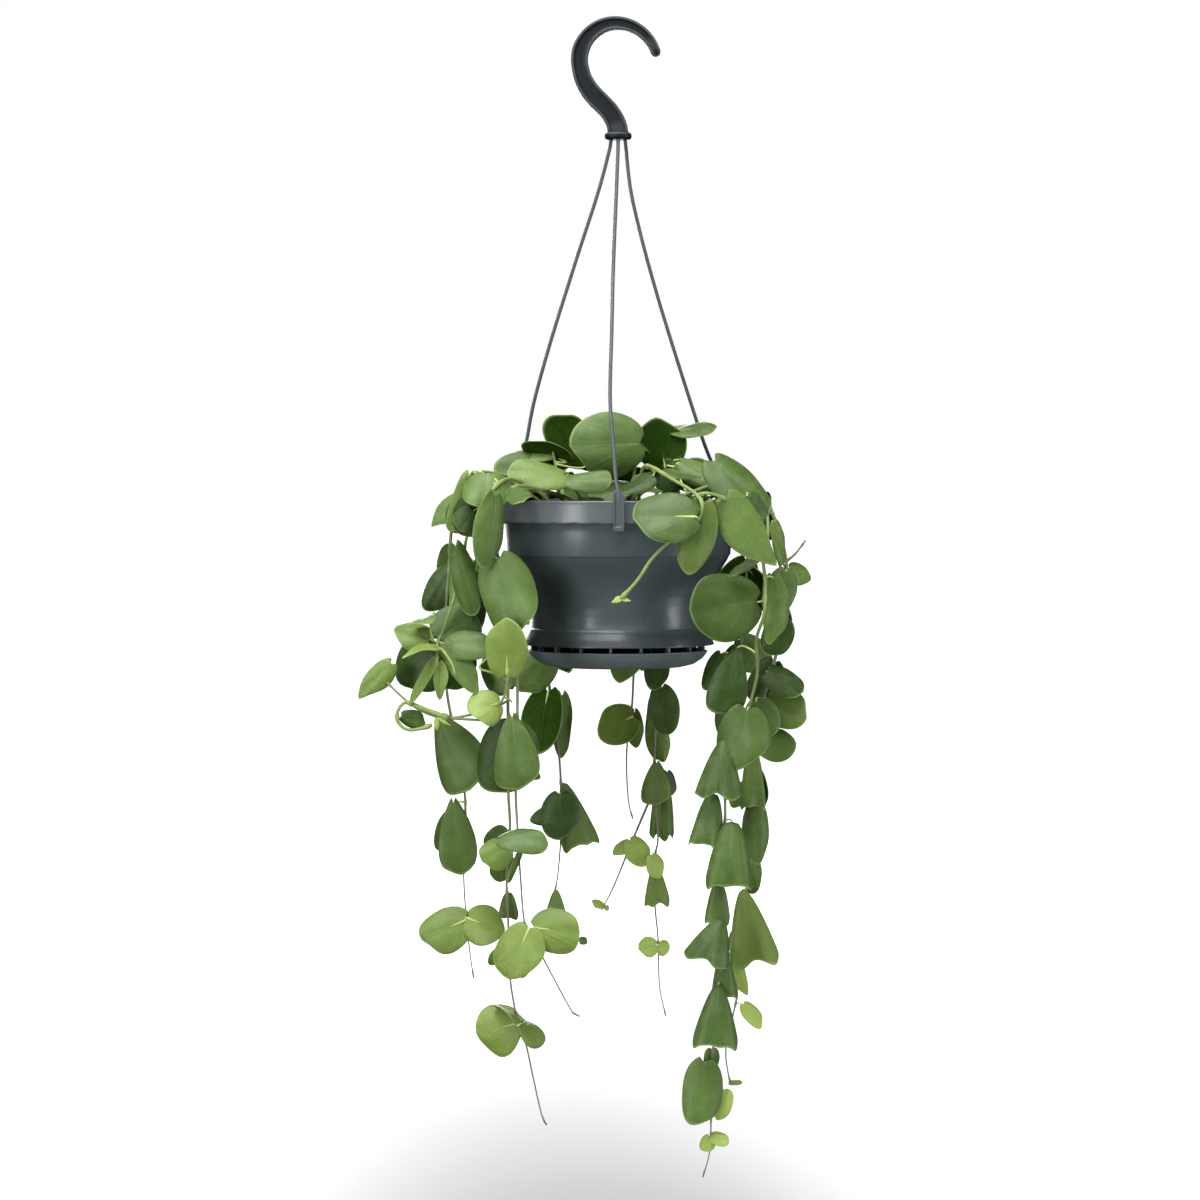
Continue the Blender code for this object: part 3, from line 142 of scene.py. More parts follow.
def socket_name(word):
    """What the Principled shader calls a socket: `coat_ior` is Coat IOR."""
    return word.replace("_", " ").title().replace("Ior", "IOR")


class Finish:
    """One material: a Principled shader and the nodes that feed it."""

    def __init__(self, name, **constants):
        self.material = bpy.data.materials.new(name)
        self.material.use_nodes = True
        self.tree = self.material.node_tree
        self.shader = self.tree.nodes["Principled BSDF"]
        for socket, value in constants.items():
            self.shader.inputs[socket_name(socket)].default_value = value

    def node(self, kind, settings, inputs, output=0):
        """Makes a node with its settings and its inputs, numbers or wires, and gives one of its outputs."""
        made = self.tree.nodes.new(kind)
        for name, value in settings.items():
            setattr(made, name, value)
        for name, value in inputs.items():
            if isinstance(value, Wire):
                self.tree.links.new(value.socket, made.inputs[name])
            else:
                made.inputs[name].default_value = value
        return Wire(self, made.outputs[output])

    def place(self, scale=1.0):
        """Object coordinates, so that a pattern keeps its real size on every piece."""
        spot = self.node("ShaderNodeTexCoord", {}, {}, "Object")
        return self.node("ShaderNodeVectorMath", {"operation": "SCALE"}, {0: spot, "Scale": scale})

    def noise(self, scale, detail=3.0, roughness=0.5, vector=None):
        """Noise from 0 to 1 whose blobs are about 1 / scale metres wide."""
        inputs = {"Vector": vector or self.place(), "Scale": scale, "Detail": detail, "Roughness": roughness}
        return self.node("ShaderNodeTexNoise", {}, inputs)

    def stretched(self, scale, shift=(0, 0, 0)):
        """Object coordinates with a factor for each way: one below 1 draws a pattern out."""
        return self.node("ShaderNodeMapping", {}, {"Vector": self.place(), "Location": shift, "Scale": scale})

    def cells(self, scale):
        """The distance to the nearest of many scattered points."""
        return self.node("ShaderNodeTexVoronoi", {}, {"Vector": self.place(), "Scale": scale}, "Distance")

    def parts(self, vector):
        """The three numbers of a vector."""
        split = self.node("ShaderNodeSeparateXYZ", {}, {0: vector})
        return [Wire(self, part) for part in split.socket.node.outputs]

    def attribute(self, name):
        """The three numbers that each point of the mesh carries under that name."""
        return self.parts(self.node("ShaderNodeAttribute", {"attribute_name": name}, {}, "Vector"))

    def mix(self, amount, low, high):
        """A colour between low and high."""
        low, high = (c if isinstance(c, Wire) else (*c, 1) for c in (low, high))
        return self.node("ShaderNodeMix", {"data_type": "RGBA"}, {0: amount, 6: low, 7: high}, 2)

    def ramp(self, value, *stops):
        """A colour that runs through the stops of (value, colour)."""
        drawn = self.node("ShaderNodeValToRGB", {}, {0: value})
        ramp = drawn.socket.node.color_ramp.elements
        while len(ramp) < len(stops):
            ramp.new(0.5)
        for stop, (position, colour) in zip(ramp, stops):
            stop.position = position
            stop.color = (*colour, 1)
        return drawn

    def bump(self, height, depth):
        """A Bump node for a height from 0 to 1 that stands `depth` millimetres high."""
        return self.node("ShaderNodeBump", {}, {"Height": height, "Distance": depth * MM}, "Normal")

    def feed(self, **wires):
        """Links what varies over the surface to the shader, and gives the finished material."""
        for socket, wire in wires.items():
            self.tree.links.new(wire.socket, self.shader.inputs[socket_name(socket)])
        return self.material


print("wires and finishes ready")

# %% Floor, world and lights
FLOOR_HEIGHT, FLOOR_RADIUS = -760, 30000
GLOW_IN_PAINTED_SHADOW, GLOW_FAR = (0.06, 0.06, 0.06), (1.25, 1.25, 1.25)
LAMPS_AIM = Vector((0, 0, -0.4))


def build_floor():
    shape = bmesh.new()
    bmesh.ops.create_circle(shape, cap_ends=True, segments=64, radius=FLOOR_RADIUS * MM)
    mesh = bpy.data.meshes.new("floor")
    shape.to_mesh(mesh)
    shape.free()
    floor = bpy.data.objects.new("floor", mesh)
    floor.location.z = FLOOR_HEIGHT * MM
    floor.visible_diffuse = floor.visible_glossy = floor.visible_shadow = False
    scene.collection.objects.link(floor)
    paper = Finish("pale_floor", roughness=0.9, emission_strength=1.0)
    grain = paper.noise(700)
    tone = paper.mix(grain, (0.30, 0.30, 0.31), (0.33, 0.33, 0.33))
    # The glow grows twice: soon, beyond an oval that is narrow from side to side and holds the painted shadow
    # below the plant, and slowly further out.
    narrow = paper.stretched((3.8, 1, 1), (0.16, 0, 0))
    near, far = (paper.node("ShaderNodeVectorMath", {"operation": "LENGTH"}, {0: spot}, "Value")
                 for spot in (narrow, paper.place()))
    bright = near.rising(0.05, 1.05) * 0.6 + far.rising(0.5, 2.2) * 0.4
    bright = bright * (0.35 + bright * 0.65)
    glow = paper.mix(bright, GLOW_IN_PAINTED_SHADOW, GLOW_FAR)
    mesh.materials.append(paper.feed(base_color=tone, emission_color=glow))


def build_world(seen, lighting):
    """A white room: `seen` is how bright it looks, and `lighting` how much it lights."""
    world = bpy.data.worlds.new("white_room")
    world.use_nodes = True
    tree = world.node_tree
    tree.nodes.clear()
    shades = []
    for strength in (lighting, seen):
        shade = tree.nodes.new("ShaderNodeBackground")
        shade.inputs["Color"].default_value = (1.0, 1.0, 1.0, 1.0)
        shade.inputs["Strength"].default_value = strength
        shades.append(shade)
    path = tree.nodes.new("ShaderNodeLightPath")
    choose = tree.nodes.new("ShaderNodeMixShader")
    out = tree.nodes.new("ShaderNodeOutputWorld")
    tree.links.new(path.outputs["Is Camera Ray"], choose.inputs[0])
    tree.links.new(shades[0].outputs[0], choose.inputs[1])
    tree.links.new(shades[1].outputs[0], choose.inputs[2])
    tree.links.new(choose.outputs[0], out.inputs["Surface"])
    scene.world = world


def softbox(name, place, width, height, power, glints=True):
    """A glowing rectangle, all sizes in metres and the power in watts, that faces the plant."""
    data = bpy.data.lights.new(name, "AREA")
    data.shape = "RECTANGLE"
    data.size, data.size_y, data.energy = width, height, power
    lamp = bpy.data.objects.new(name, data)
    lamp.location = place
    lamp.visible_glossy = glints
    lamp.rotation_euler = turned_to(Vector(place), LAMPS_AIM)
    scene.collection.objects.link(lamp)


build_floor()
build_world(seen=1.0, lighting=0.08)
softbox("overhead_softbox", (-0.3, -0.6, 1.1), 1.3, 1.1, 56)
softbox("left_softbox", (-1.1, -1.2, -0.2), 0.42, 0.9, 15)
softbox("right_softbox", (1.48, -0.42, -0.4), 0.46, 1.2, 13)
softbox("front_fill", (-0.2, -2.6, 0.7), 3.0, 1.4, 16)
softbox("low_bounce", (0.1, -1.5, -1.2), 1.2, 0.8, 16, glints=False)
softbox("back_fill", (-0.4, 2.6, 0.2), 1.6, 1.6, 80)

# %% [markdown]
# ## Plastics
#
# Hook, strands and pot are injection-moulded polypropylene. It has a half gloss that shows every
# touch: the gloss is broken by very fine grain, by dull handling marks and by a little dust, and
# the colour by the faint streaks that the melt leaves. Raised edges are scuffed paler, which on the
# hook's rims also paints their highlight: where a mesh has them, its `edge` attribute says so. One
# function makes all four plastics, for the hook, the strands, the pot and the saucer, because only
# the colour and the amount of each effect differ.
#
# The pot has three marks of its own, all painted light and shade: its whole rim band is painted a
# little paler as a highlight, its skirt is painted darker below the waist as shade, and low on its
# left the wall is painted darker, as the shade of the leaves that hang in front of it. Each is a
# colour that fades in between two places.

# %% Moulded plastic
STREAK, DUST = 0.25, 0.35
# Where the painted shade of the hanging leaves starts and where it is full: to the left, downwards and to the
# front.
PAINTED_SHADE_LEFT, PAINTED_SHADE_DOWN, PAINTED_SHADE_FRONT = (-22 * MM, -36 * MM), (-318 * MM, -342 * MM), (0, -20 * MM)
PAINTED_SHADE_COLOUR = (0.006, 0.010, 0.007)


def moulded_plastic(name, colour, dusty, roughness, gloss=0.45, scuff_and_painted_highlight=0.0, bands=(), painted_shade=0.0):
    """Polypropylene, scuffed paler at its edges, which also paints a highlight there, with `bands` of (start,
    end, amount, colour) up its height and a patch of painted shade low on its left front.
    """
    finish = Finish(name, ior=1.47, specular_ior_level=gloss)
    edge = finish.attribute("edge")[0]
    flow = finish.noise(38, 4, 0.6, finish.stretched((1, 1, 0.18)))
    grain = finish.noise(2600, 2)
    marks = finish.noise(55, 6, 0.65).rising(0.5, 0.74)
    specks = 1 - finish.cells(420).rising(0.03, 0.11)
    sparse = finish.noise(90, 2).rising(0.55, 0.7)
    tone = finish.mix(flow * STREAK, colour, tuple(c * 1.5 for c in colour))
    tone = finish.mix(marks * DUST * 0.35 + specks * sparse * DUST, tone, dusty)
    # Edges scuffed paler; on the hook's raised rims this is also a painted highlight.
    tone = finish.mix(edge * scuff_and_painted_highlight * (0.7 + marks * 0.3), tone, dusty)
    across, deep, height = finish.parts(finish.place())
    for start, end, amount, shade in bands:
        tone = finish.mix(height.rising(start * MM, end * MM) * amount, tone, shade)
    # Painted shade low on the pot's left front, where the hanging leaves shade the wall; its edge wanders a
    # little.
    ragged = across + (flow - 0.5) * (8 * MM)
    painted_shade_patch = ragged.rising(*PAINTED_SHADE_LEFT) * height.rising(*PAINTED_SHADE_DOWN) * deep.rising(*PAINTED_SHADE_FRONT)
    tone = finish.mix(painted_shade_patch * painted_shade, tone, PAINTED_SHADE_COLOUR)
    rough = roughness + marks * 0.12 + specks * sparse * 0.2 + (flow - 0.5) * 0.06 + edge * scuff_and_painted_highlight * 0.1
    relief = grain * 0.35 + flow * 0.65 - specks * sparse * 0.4
    return finish.feed(base_color=tone, roughness=rough, normal=finish.bump(relief, 0.05))


SCUFFED_BLACK, SCUFFED_GREY, POT_SCUFF_AND_HIGHLIGHT = (0.062, 0.070, 0.074), (0.17, 0.18, 0.18), (0.14, 0.15, 0.15)
# The rim band is painted paler as a highlight, in the colour that the pot's dust and scuffs also use.
PAINTED_RIM_HIGHLIGHT = (-300.8, -299.9, 0.3, POT_SCUFF_AND_HIGHLIGHT)
# Painted shade: the skirt is darker below the waist.
SHADED_SKIRT = (-363.5, -367.5, 0.6, (0.016, 0.022, 0.024))
HOOK_PLASTIC = moulded_plastic("hook_plastic", (0.004, 0.006, 0.007), SCUFFED_BLACK, 0.46, 0.22, scuff_and_painted_highlight=0.8)
STRAND_PLASTIC = moulded_plastic("strand_plastic", (0.054, 0.063, 0.067), SCUFFED_GREY, 0.36)
# The pot's plastic carries painted highlight and shade: a paler rim band, a darker skirt and a dark patch low
# on its left.
POT_PLASTIC = moulded_plastic("pot_plastic", (0.040, 0.054, 0.058), POT_SCUFF_AND_HIGHLIGHT, 0.28, scuff_and_painted_highlight=0.5,
                              bands=(PAINTED_RIM_HIGHLIGHT, SHADED_SKIRT), painted_shade=0.8)
# The saucer's plastic is lighter than the pot's: painted light, for the light that the pale floor throws up
# onto it.
SAUCER_PLASTIC = moulded_plastic("saucer_plastic", (0.072, 0.090, 0.092), SCUFFED_GREY, 0.34)
print("four plastics")

# %% [markdown]
# ## Shapes that are used again
#
# Apart from the leaf blades, most shapes are one of two kinds. A **loft** joins rings of points:
# the hook, the strands, the stems and the leaf stalks are all sections carried along a smooth
# route. A **turned** shape is an outline spun round the pot's axis. Both close themselves.

# %% Building helpers


def add_piece(name, mesh, material, slot, *nodes, smooth_angle=None):
    """Puts a mesh into the scene as a named piece of the object that stands for the CAD nodes."""
    mesh.materials.append(material)
    mesh.shade_smooth()
    if smooth_angle:
        mesh.set_sharp_from_angle(angle=math.radians(smooth_angle))
    piece = bpy.data.objects.new(name, mesh)
    scene.collection.objects.link(piece)
    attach(piece, "root")
    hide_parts(*nodes)
    return piece


def mesh_of(name, points, faces):
    """A mesh from points in millimetres."""
    mesh = bpy.data.meshes.new(name)
    mesh.from_pydata([tuple(p) for p in np.asarray(points) * MM], [], faces)
    mesh.update()
    return mesh


def mark(mesh, name, vectors):
    """Gives each point of the mesh a vector for its finish to read."""
    values = np.array(vectors, dtype=float).ravel()
    mesh.attributes.new(name, "FLOAT_VECTOR", "POINT").data.foreach_set("vector", values)


def joined(solids):
    """(points, faces) of several solids, each (points, faces), as one."""
    points, faces = [], []
    for more, skin in solids:
        faces += [tuple(i + len(points) for i in face) for face in skin]
        points += list(more)
    return points, faces


def loft(rings):
    """(points, faces) of a closed solid whose skin runs over equal rings of points."""
    count = len(rings[0])
    points = [p for ring in rings for p in ring]
    faces = []
    for k in range(len(rings) - 1):
        for i in range(count):
            j = (i + 1) % count
            faces.append((k * count + i, k * count + j, (k + 1) * count + j, (k + 1) * count + i))
    faces.append(tuple(reversed(range(count))))
    faces.append(tuple(range((len(rings) - 1) * count, len(rings) * count)))
    return points, faces


def smooth_route(points, spacing):
    """Points about `spacing` apart on a smooth curve through the given ones."""
    knots = [Vector(p) for p in points]
    knots = [knots[0] * 2 - knots[1], *knots, knots[-1] * 2 - knots[-2]]
    route = []
    for before, start, end, after in zip(knots, knots[1:], knots[2:], knots[3:]):
        steps = max(1, round((end - start).length / spacing))
        for t in (step / steps for step in range(steps)):
            swing = 2 * start + (end - before) * t + (2 * before - 5 * start + 4 * end - after) * t**2
            route.append(0.5 * (swing + (3 * start - before - 3 * end + after) * t**3))
    route.append(knots[-2])
    return route


def sweep(route, section, side=Vector((1, 0, 0))):
    """Rings of `section(k)`, a list of (across, out) in mm, carried along the route without twisting."""
    rings = []
    for k, place in enumerate(route):
        along = (route[min(k + 1, len(route) - 1)] - route[max(k - 1, 0)]).normalized()
        side = (side - along * side.dot(along)).normalized()
        out = along.cross(side)
        rings.append([place + side * a + out * b for a, b in section(k)])
    return rings


def round_section(radius, sides):
    """A circle as a section for `sweep`."""
    turns = [math.tau * i / sides for i in range(sides)]
    return [(radius * math.cos(t), radius * math.sin(t)) for t in turns]


def turned(profile, steps, warp=None):
    """(points, faces) of an outline of (radius, height) that starts and ends on the axis, spun round it."""
    inner = profile[1:-1]
    points = [(0, 0, profile[0][1]), (0, 0, profile[-1][1])]
    for step in range(steps):
        angle = math.tau * step / steps
        for number, (radius, height) in enumerate(inner):
            if warp:
                radius, height = warp(number, radius, height, angle)
            points.append((radius * math.cos(angle), radius * math.sin(angle), height))
    faces, count = [], len(inner)
    for step in range(steps):
        a, b = 2 + step * count, 2 + (step + 1) % steps * count
        faces.append((0, a, b))
        faces += [(a + i, a + i + 1, b + i + 1, b + i) for i in range(count - 1)]
        faces.append((1, b + count - 1, a + count - 1))
    return points, faces


def arc(start, pull, end, shares):
    """Points on the curve from start to end that is drawn towards pull."""
    return [start * (1 - t) ** 2 + pull * 2 * t * (1 - t) + end * t**2 for t in shares]


def rounded(profile, radius, cuts=3):
    """The outline with its corners rounded to about `radius`, its two ends on the axis left alone."""
    soft = [profile[0]]
    for before, here, after in zip(profile, profile[1:], profile[2:]):
        a, b, c = (Vector(p) for p in (before, here, after))
        reach = min(radius, (b - a).length * 0.45, (c - b).length * 0.45)
        start, end = b + (a - b).normalized() * reach, b + (c - b).normalized() * reach
        soft += [tuple(place) for place in arc(start, b, end, [i / cuts for i in range(cuts + 1)])]
    soft.append(profile[-1])
    return soft


print("helpers ready")

# %% [markdown]
# ## Hook
#
# The swan-neck hook is moulded as an H-beam: a thin web between two raised rims, because a solid
# bar of that size would sink and warp as it cools. It could be a flat outline with a pocket cut
# in each face, but a loft of one H-shaped section along the hook's centreline gives rounded rims
# for free. The section narrows towards the tip, where the pocket fades out and the end is round.
# Its foot stands in a collar whose underside takes the three strands.

# %% Hook
HOOK_INNER_RADIUS = 18.3
HOOK_HALF_THICKNESS = 3.5
HOOK_POCKET = 1.6
HOOK_RIM_WIDTH = 1.6
HOOK_TIP_ANGLE, HOOK_STEP_ANGLE, HOOK_STEPS = 12, 11.75, 16
# (x, height, half width) down the neck, from the end of the bow to the collar
HOOK_NECK = [
    (-21.5, -29.2, 5.4), (-18.4, -35.3, 5.7), (-14.6, -40.2, 5.9), (-10.3, -44.5, 5.9),
    (-5.8, -49.2, 5.9), (-2.4, -54.4, 6.0), (-0.5, -59.4, 6.2), (0.0, -64.6, 6.4),
]
COLLAR_RADIUS, COLLAR_TOP, COLLAR_BOTTOM = 8.3, -62.6, -67.0


def hook_stations():
    """(x, height, half width) from just behind the tip, over the bow, down to the collar."""
    line = []
    for step in range(HOOK_STEPS):
        angle = math.radians(HOOK_TIP_ANGLE + step * HOOK_STEP_ANGLE)
        half = 3.0 + 2.2 * min(1.0, step / 13) ** 1.3
        radius = HOOK_INNER_RADIUS + 2.1 * max(0.0, 1 - step / 6) ** 2 + half
        line.append((radius * math.cos(angle), -HOOK_INNER_RADIUS + radius * math.sin(angle), half))
    return line + HOOK_NECK


def h_section(half, thickness, pocket):
    """The H-beam's outline as (across, out), with soft corners."""
    soft = min(0.8, half * 0.4, thickness * 0.4)
    rim = max(half - HOOK_RIM_WIDTH, half * 0.3)
    flat = max(0.0, half - soft - rim)
    quarter = [
        (half, thickness - soft),
        (half - soft * 0.3, thickness - soft * 0.3),
        (half - soft, thickness),
        (rim + flat * 0.5, thickness),
        (rim + flat * 0.12, thickness - min(pocket, 0.12)),
        (rim, thickness - max(0.0, pocket - 0.4)),
        (rim * 0.85, thickness - max(0.0, pocket - 0.06)),
        (rim * 0.5, thickness - pocket),
    ]
    top = quarter + [(-a, b) for a, b in reversed(quarter)]
    return top + [(-a, -b) for a, b in top]


def build_hook():
    stations = smooth_route([(x, half, z) for x, z, half in hook_stations()], 1.6)
    route = [Vector((p.x, 0, p.z)) for p in stations]
    halves = [p.y for p in stations]
    back = (route[0] - route[1]).normalized()
    turns = (1.54, 1.4, 1.2, 0.95, 0.65, 0.3)  # over the round tip, in radians
    route = [route[0] + back * halves[0] * math.sin(turn) for turn in turns] + route
    halves = [halves[0] * math.cos(turn) for turn in turns] + halves
    last = len(route) - 1

    def section(k):
        """The H-section there, its pocket fading out towards the tip and the collar."""
        from_tip = min(1.0, max(0.0, (k - len(turns) - 1) / 5))
        from_collar = min(1.0, max(0.0, (last - k - 1) / 4))
        thickness = HOOK_HALF_THICKNESS * min(1.0, 0.3 + halves[k] / halves[len(turns)] * 0.7)
        return h_section(halves[k], thickness, 0.06 + HOOK_POCKET * min(from_tip, from_collar))

    points, faces = loft(sweep(route, section))
    mesh = mesh_of("hook_body", points, faces)
    # The raised rims are marked to be scuffed paler, which also paints their highlight.
    scuff_and_painted_highlight = [abs(a) > halves[k] - HOOK_RIM_WIDTH and abs(b) > 1
            for k in range(len(route)) for a, b in section(k)]
    mark(mesh, "edge", [(value, 0, 0) for value in scuff_and_painted_highlight])
    add_piece("hook_body", mesh, HOOK_PLASTIC, "hook_plastic", "hanger_hook", smooth_angle=40)
    outline = [
        (0, COLLAR_TOP + 0.6), (6.3, COLLAR_TOP + 0.6), (COLLAR_RADIUS, COLLAR_TOP - 0.9),
        (COLLAR_RADIUS, COLLAR_BOTTOM + 1.2), (COLLAR_RADIUS - 1.3, COLLAR_BOTTOM), (0, COLLAR_BOTTOM),
    ]
    points, faces = turned(rounded(outline, 0.6), 64)
    mesh = mesh_of("hook_collar", points, faces)
    rim = [math.hypot(x, y) > COLLAR_RADIUS - 0.7 and z > COLLAR_TOP - 1.4 for x, y, z in points]
    mark(mesh, "edge", [(value, 0, 0) for value in rim])
    add_piece("hook_collar", mesh, HOOK_PLASTIC, "hook_plastic", "hanger_hook", smooth_angle=50)


build_hook()

# %% [markdown]
# ## Strands and clips
#
# Each strand is a thin moulded leg, nearly round and with a low ridge down its front, that swings
# out from the collar to the rim and ends in a clip. The clip is one folded profile: a tongue inside
# the rim, a bridge over it, a channel down the outside and a toe that snaps under the rim band. So
# the strand is a loft along its route, and the clip is that side profile pulled across its width,
# with a rail down each side and a small block at its foot.

# %% Strand routes
STRAND_ANGLES = {"front": -90, "left": 150, "right": 30}
# (distance from the pot's axis, sideways bow, height) between collar and clip
STRAND_ROUTES = {
    "front": [(12, -1, -97), (27, -3, -146), (42, -4, -185), (57, -5, -226), (67, -3, -254),
              (73.5, -1.5, -275)],
    "left": [(14, 0, -98), (30, 0, -140), (48, 0, -189), (60, 0, -226), (66, 0, -252), (73.5, 0, -275)],
    "right": [(9, 0, -97), (17, 0, -127), (27, 0, -158), (37, 0, -186), (52, 0, -226), (63, 0, -254),
              (73.5, 0, -275)],
}
RIM_TOP, RIM_RADIUS, RIM_BOTTOM = -286.7, 75.0, -300.1
WALL, COLLAR_WALL_RADIUS = 1.6, 70.8
CLIP_TOP, CLIP_BOTTOM, CLIP_HALF_WIDTH = -281.0, -304.8, 3.35
CLIP_EDGE_RADIUS = 0.22
STRAND_RADIUS = 1.15
CLEARANCE = 0.3


def ridged_section(radius):
    """A strand's section: a round rib with a raised ridge along the middle of its front."""
    section = []
    for i in range(16):
        turn = math.tau * i / 16
        ridge = 0.12 if i in (11, 12, 13) else -0.1 if i in (9, 10, 14, 15) else 0.0
        section.append(((radius + ridge) * math.cos(turn), (radius + ridge) * math.sin(turn) * 0.92))
    return section


def spun(points, angle):
    """The points turned about the pot's axis."""
    turn = Matrix.Rotation(angle, 3, "Z")
    return [turn @ Vector(p) for p in points]


def clip_parts():
    """The clip's solids: each a side profile of (radius, height), with the y of its two ends."""
    inner = RIM_RADIUS + CLEARANCE
    lip = RIM_RADIUS - WALL - CLEARANCE
    toe = COLLAR_WALL_RADIUS + 0.6
    hook = [
        (lip - 1.3, RIM_TOP - 5), (lip, RIM_TOP - 5), (lip, RIM_TOP + CLEARANCE),
        (inner, RIM_TOP + CLEARANCE), (inner, RIM_BOTTOM - CLEARANCE),
        (toe, RIM_BOTTOM - CLEARANCE - 0.6), (toe, CLIP_BOTTOM + 1.4), (toe + 1.2, CLIP_BOTTOM),
        (inner + 1.9, CLIP_BOTTOM), (inner + 1.9, CLIP_TOP), (inner + 0.2, CLIP_TOP),
        (inner, RIM_TOP + 2), (lip - 1.3, RIM_TOP + 1.6),
    ]
    rail = [
        (inner + 1.2, CLIP_BOTTOM), (inner + 2.9, CLIP_BOTTOM), (inner + 2.9, CLIP_TOP - 1.6),
        (inner + 2.2, CLIP_TOP - 0.9), (inner + 1.2, CLIP_TOP - 0.9),
    ]
    block = [
        (inner + 1.2, CLIP_BOTTOM), (inner + 2.6, CLIP_BOTTOM), (inner + 2.6, CLIP_BOTTOM + 2.6),
        (inner + 1.2, CLIP_BOTTOM + 3.6),
    ]
    half, edge = CLIP_HALF_WIDTH, 1.1
    yield hook, -half + 0.1, half - 0.1
    yield rail, half - edge, half
    yield rail, -half, edge - half
    yield block, edge - half - 0.1, half - edge + 0.1


def build_strand(side):
    angle = math.radians(STRAND_ANGLES[side])
    node = f"hanger_strand_{side}"
    middle = RIM_RADIUS + CLEARANCE + 1
    stations = [(5, 0, COLLAR_BOTTOM + 3.1), (5, 0, COLLAR_BOTTOM), (5.6, 0, COLLAR_BOTTOM - 4)]
    stations += [*STRAND_ROUTES[side], (middle, 0, CLIP_TOP - 1), (middle, 0, CLIP_TOP - 5)]
    route = smooth_route(stations, 4)
    section = ridged_section(STRAND_RADIUS)
    points, faces = loft(sweep(route, lambda k: section, Vector((0, 1, 0))))
    rod = mesh_of(f"strand_{side}", spun(points, angle), faces)
    add_piece(f"strand_{side}", rod, STRAND_PLASTIC, "strand_plastic", node, smooth_angle=50)
    points, faces = joined(loft([[(r, y, z) for r, z in outline] for y in ends])
                           for outline, *ends in clip_parts())
    folded = mesh_of(f"clip_{side}", spun(points, angle), faces)
    clip = add_piece(f"clip_{side}", folded, STRAND_PLASTIC, "strand_plastic", node, smooth_angle=30)
    soften = clip.modifiers.new("soft_edges", "BEVEL")
    soften.width, soften.segments, soften.limit_method = CLIP_EDGE_RADIUS * MM, 2, "ANGLE"
    return route


for side in STRAND_ANGLES:
    route = build_strand(side)
    length = sum((b - a).length for a, b in zip(route, route[1:]))
    print("strand", side, round(length), "mm long")

# %% [markdown]
# ## Pot and saucer
#
# A nursery pot is one thin moulded shell: a rim band that stiffens the mouth, a collar that lets
# pots stack without jamming, a wall that draws in to a waist and a flared skirt. It could be
# modelled as a cylinder and pulled into shape. Spinning its outline is surer, because every
# radius is then a number, and the rim band's lower edge can be given its row of low moulded lugs
# while it is spun. The place of the embossed lettering is left bare.

# %% Pot
WALL_OUTSIDE = [
    (COLLAR_WALL_RADIUS, RIM_BOTTOM + 0.2), (70.2, -306), (68.9, -320.0), (68.1, -320.7), (67.4, -322.5),
    (64.3, -327.5), (61.0, -332.5), (57.9, -338.6), (55.6, -345.0), (54.2, -351.2), (53.7, -356.9),
    (53.9, -361.5), (54.5, -364.6), (55.2, -365.2), (55.6, -366.4), (57.6, -370.5), (58.9, -374.4),
]
LUGS = 34
FLOOR_TOP, FLOOR_BOTTOM = -366.0, -367.8
DRAINS, DRAIN_CIRCLE, DRAIN_RADIUS = 6, 34.0, 3.5


def pot_outline():
    """(outline of (radius, height), numbers of the points on the rim band's lower edge)."""
    outline = [(0, FLOOR_TOP), (50.5, FLOOR_TOP)]
    outline += [(radius - WALL, height) for radius, height in reversed(WALL_OUTSIDE[:-5])]
    inside = RIM_RADIUS - WALL
    outline += [
        (inside - 0.1, RIM_BOTTOM + 1.5), (inside, RIM_TOP - 0.7), (inside + 0.5, RIM_TOP),
        (RIM_RADIUS - 0.6, RIM_TOP), (RIM_RADIUS, RIM_TOP - 0.6), (RIM_RADIUS - 0.3, RIM_TOP - 2.2),
        (RIM_RADIUS - 0.5, RIM_BOTTOM + 1.6), (RIM_RADIUS - 0.6, RIM_BOTTOM + 0.4),
        (RIM_RADIUS - 1.1, RIM_BOTTOM), (RIM_RADIUS - 2.0, RIM_BOTTOM), *WALL_OUTSIDE,
    ]
    outline += [(58.9, -375.0), (57.4, -375.0), (56.2, -371.4), (54.4, FLOOR_BOTTOM), (0, FLOOR_BOTTOM)]
    soft = rounded(outline, 0.7, 2)
    edge = {i - 1 for i, (r, z) in enumerate(soft) if r > 72.5 and z < RIM_BOTTOM + 1.2}
    return soft, edge


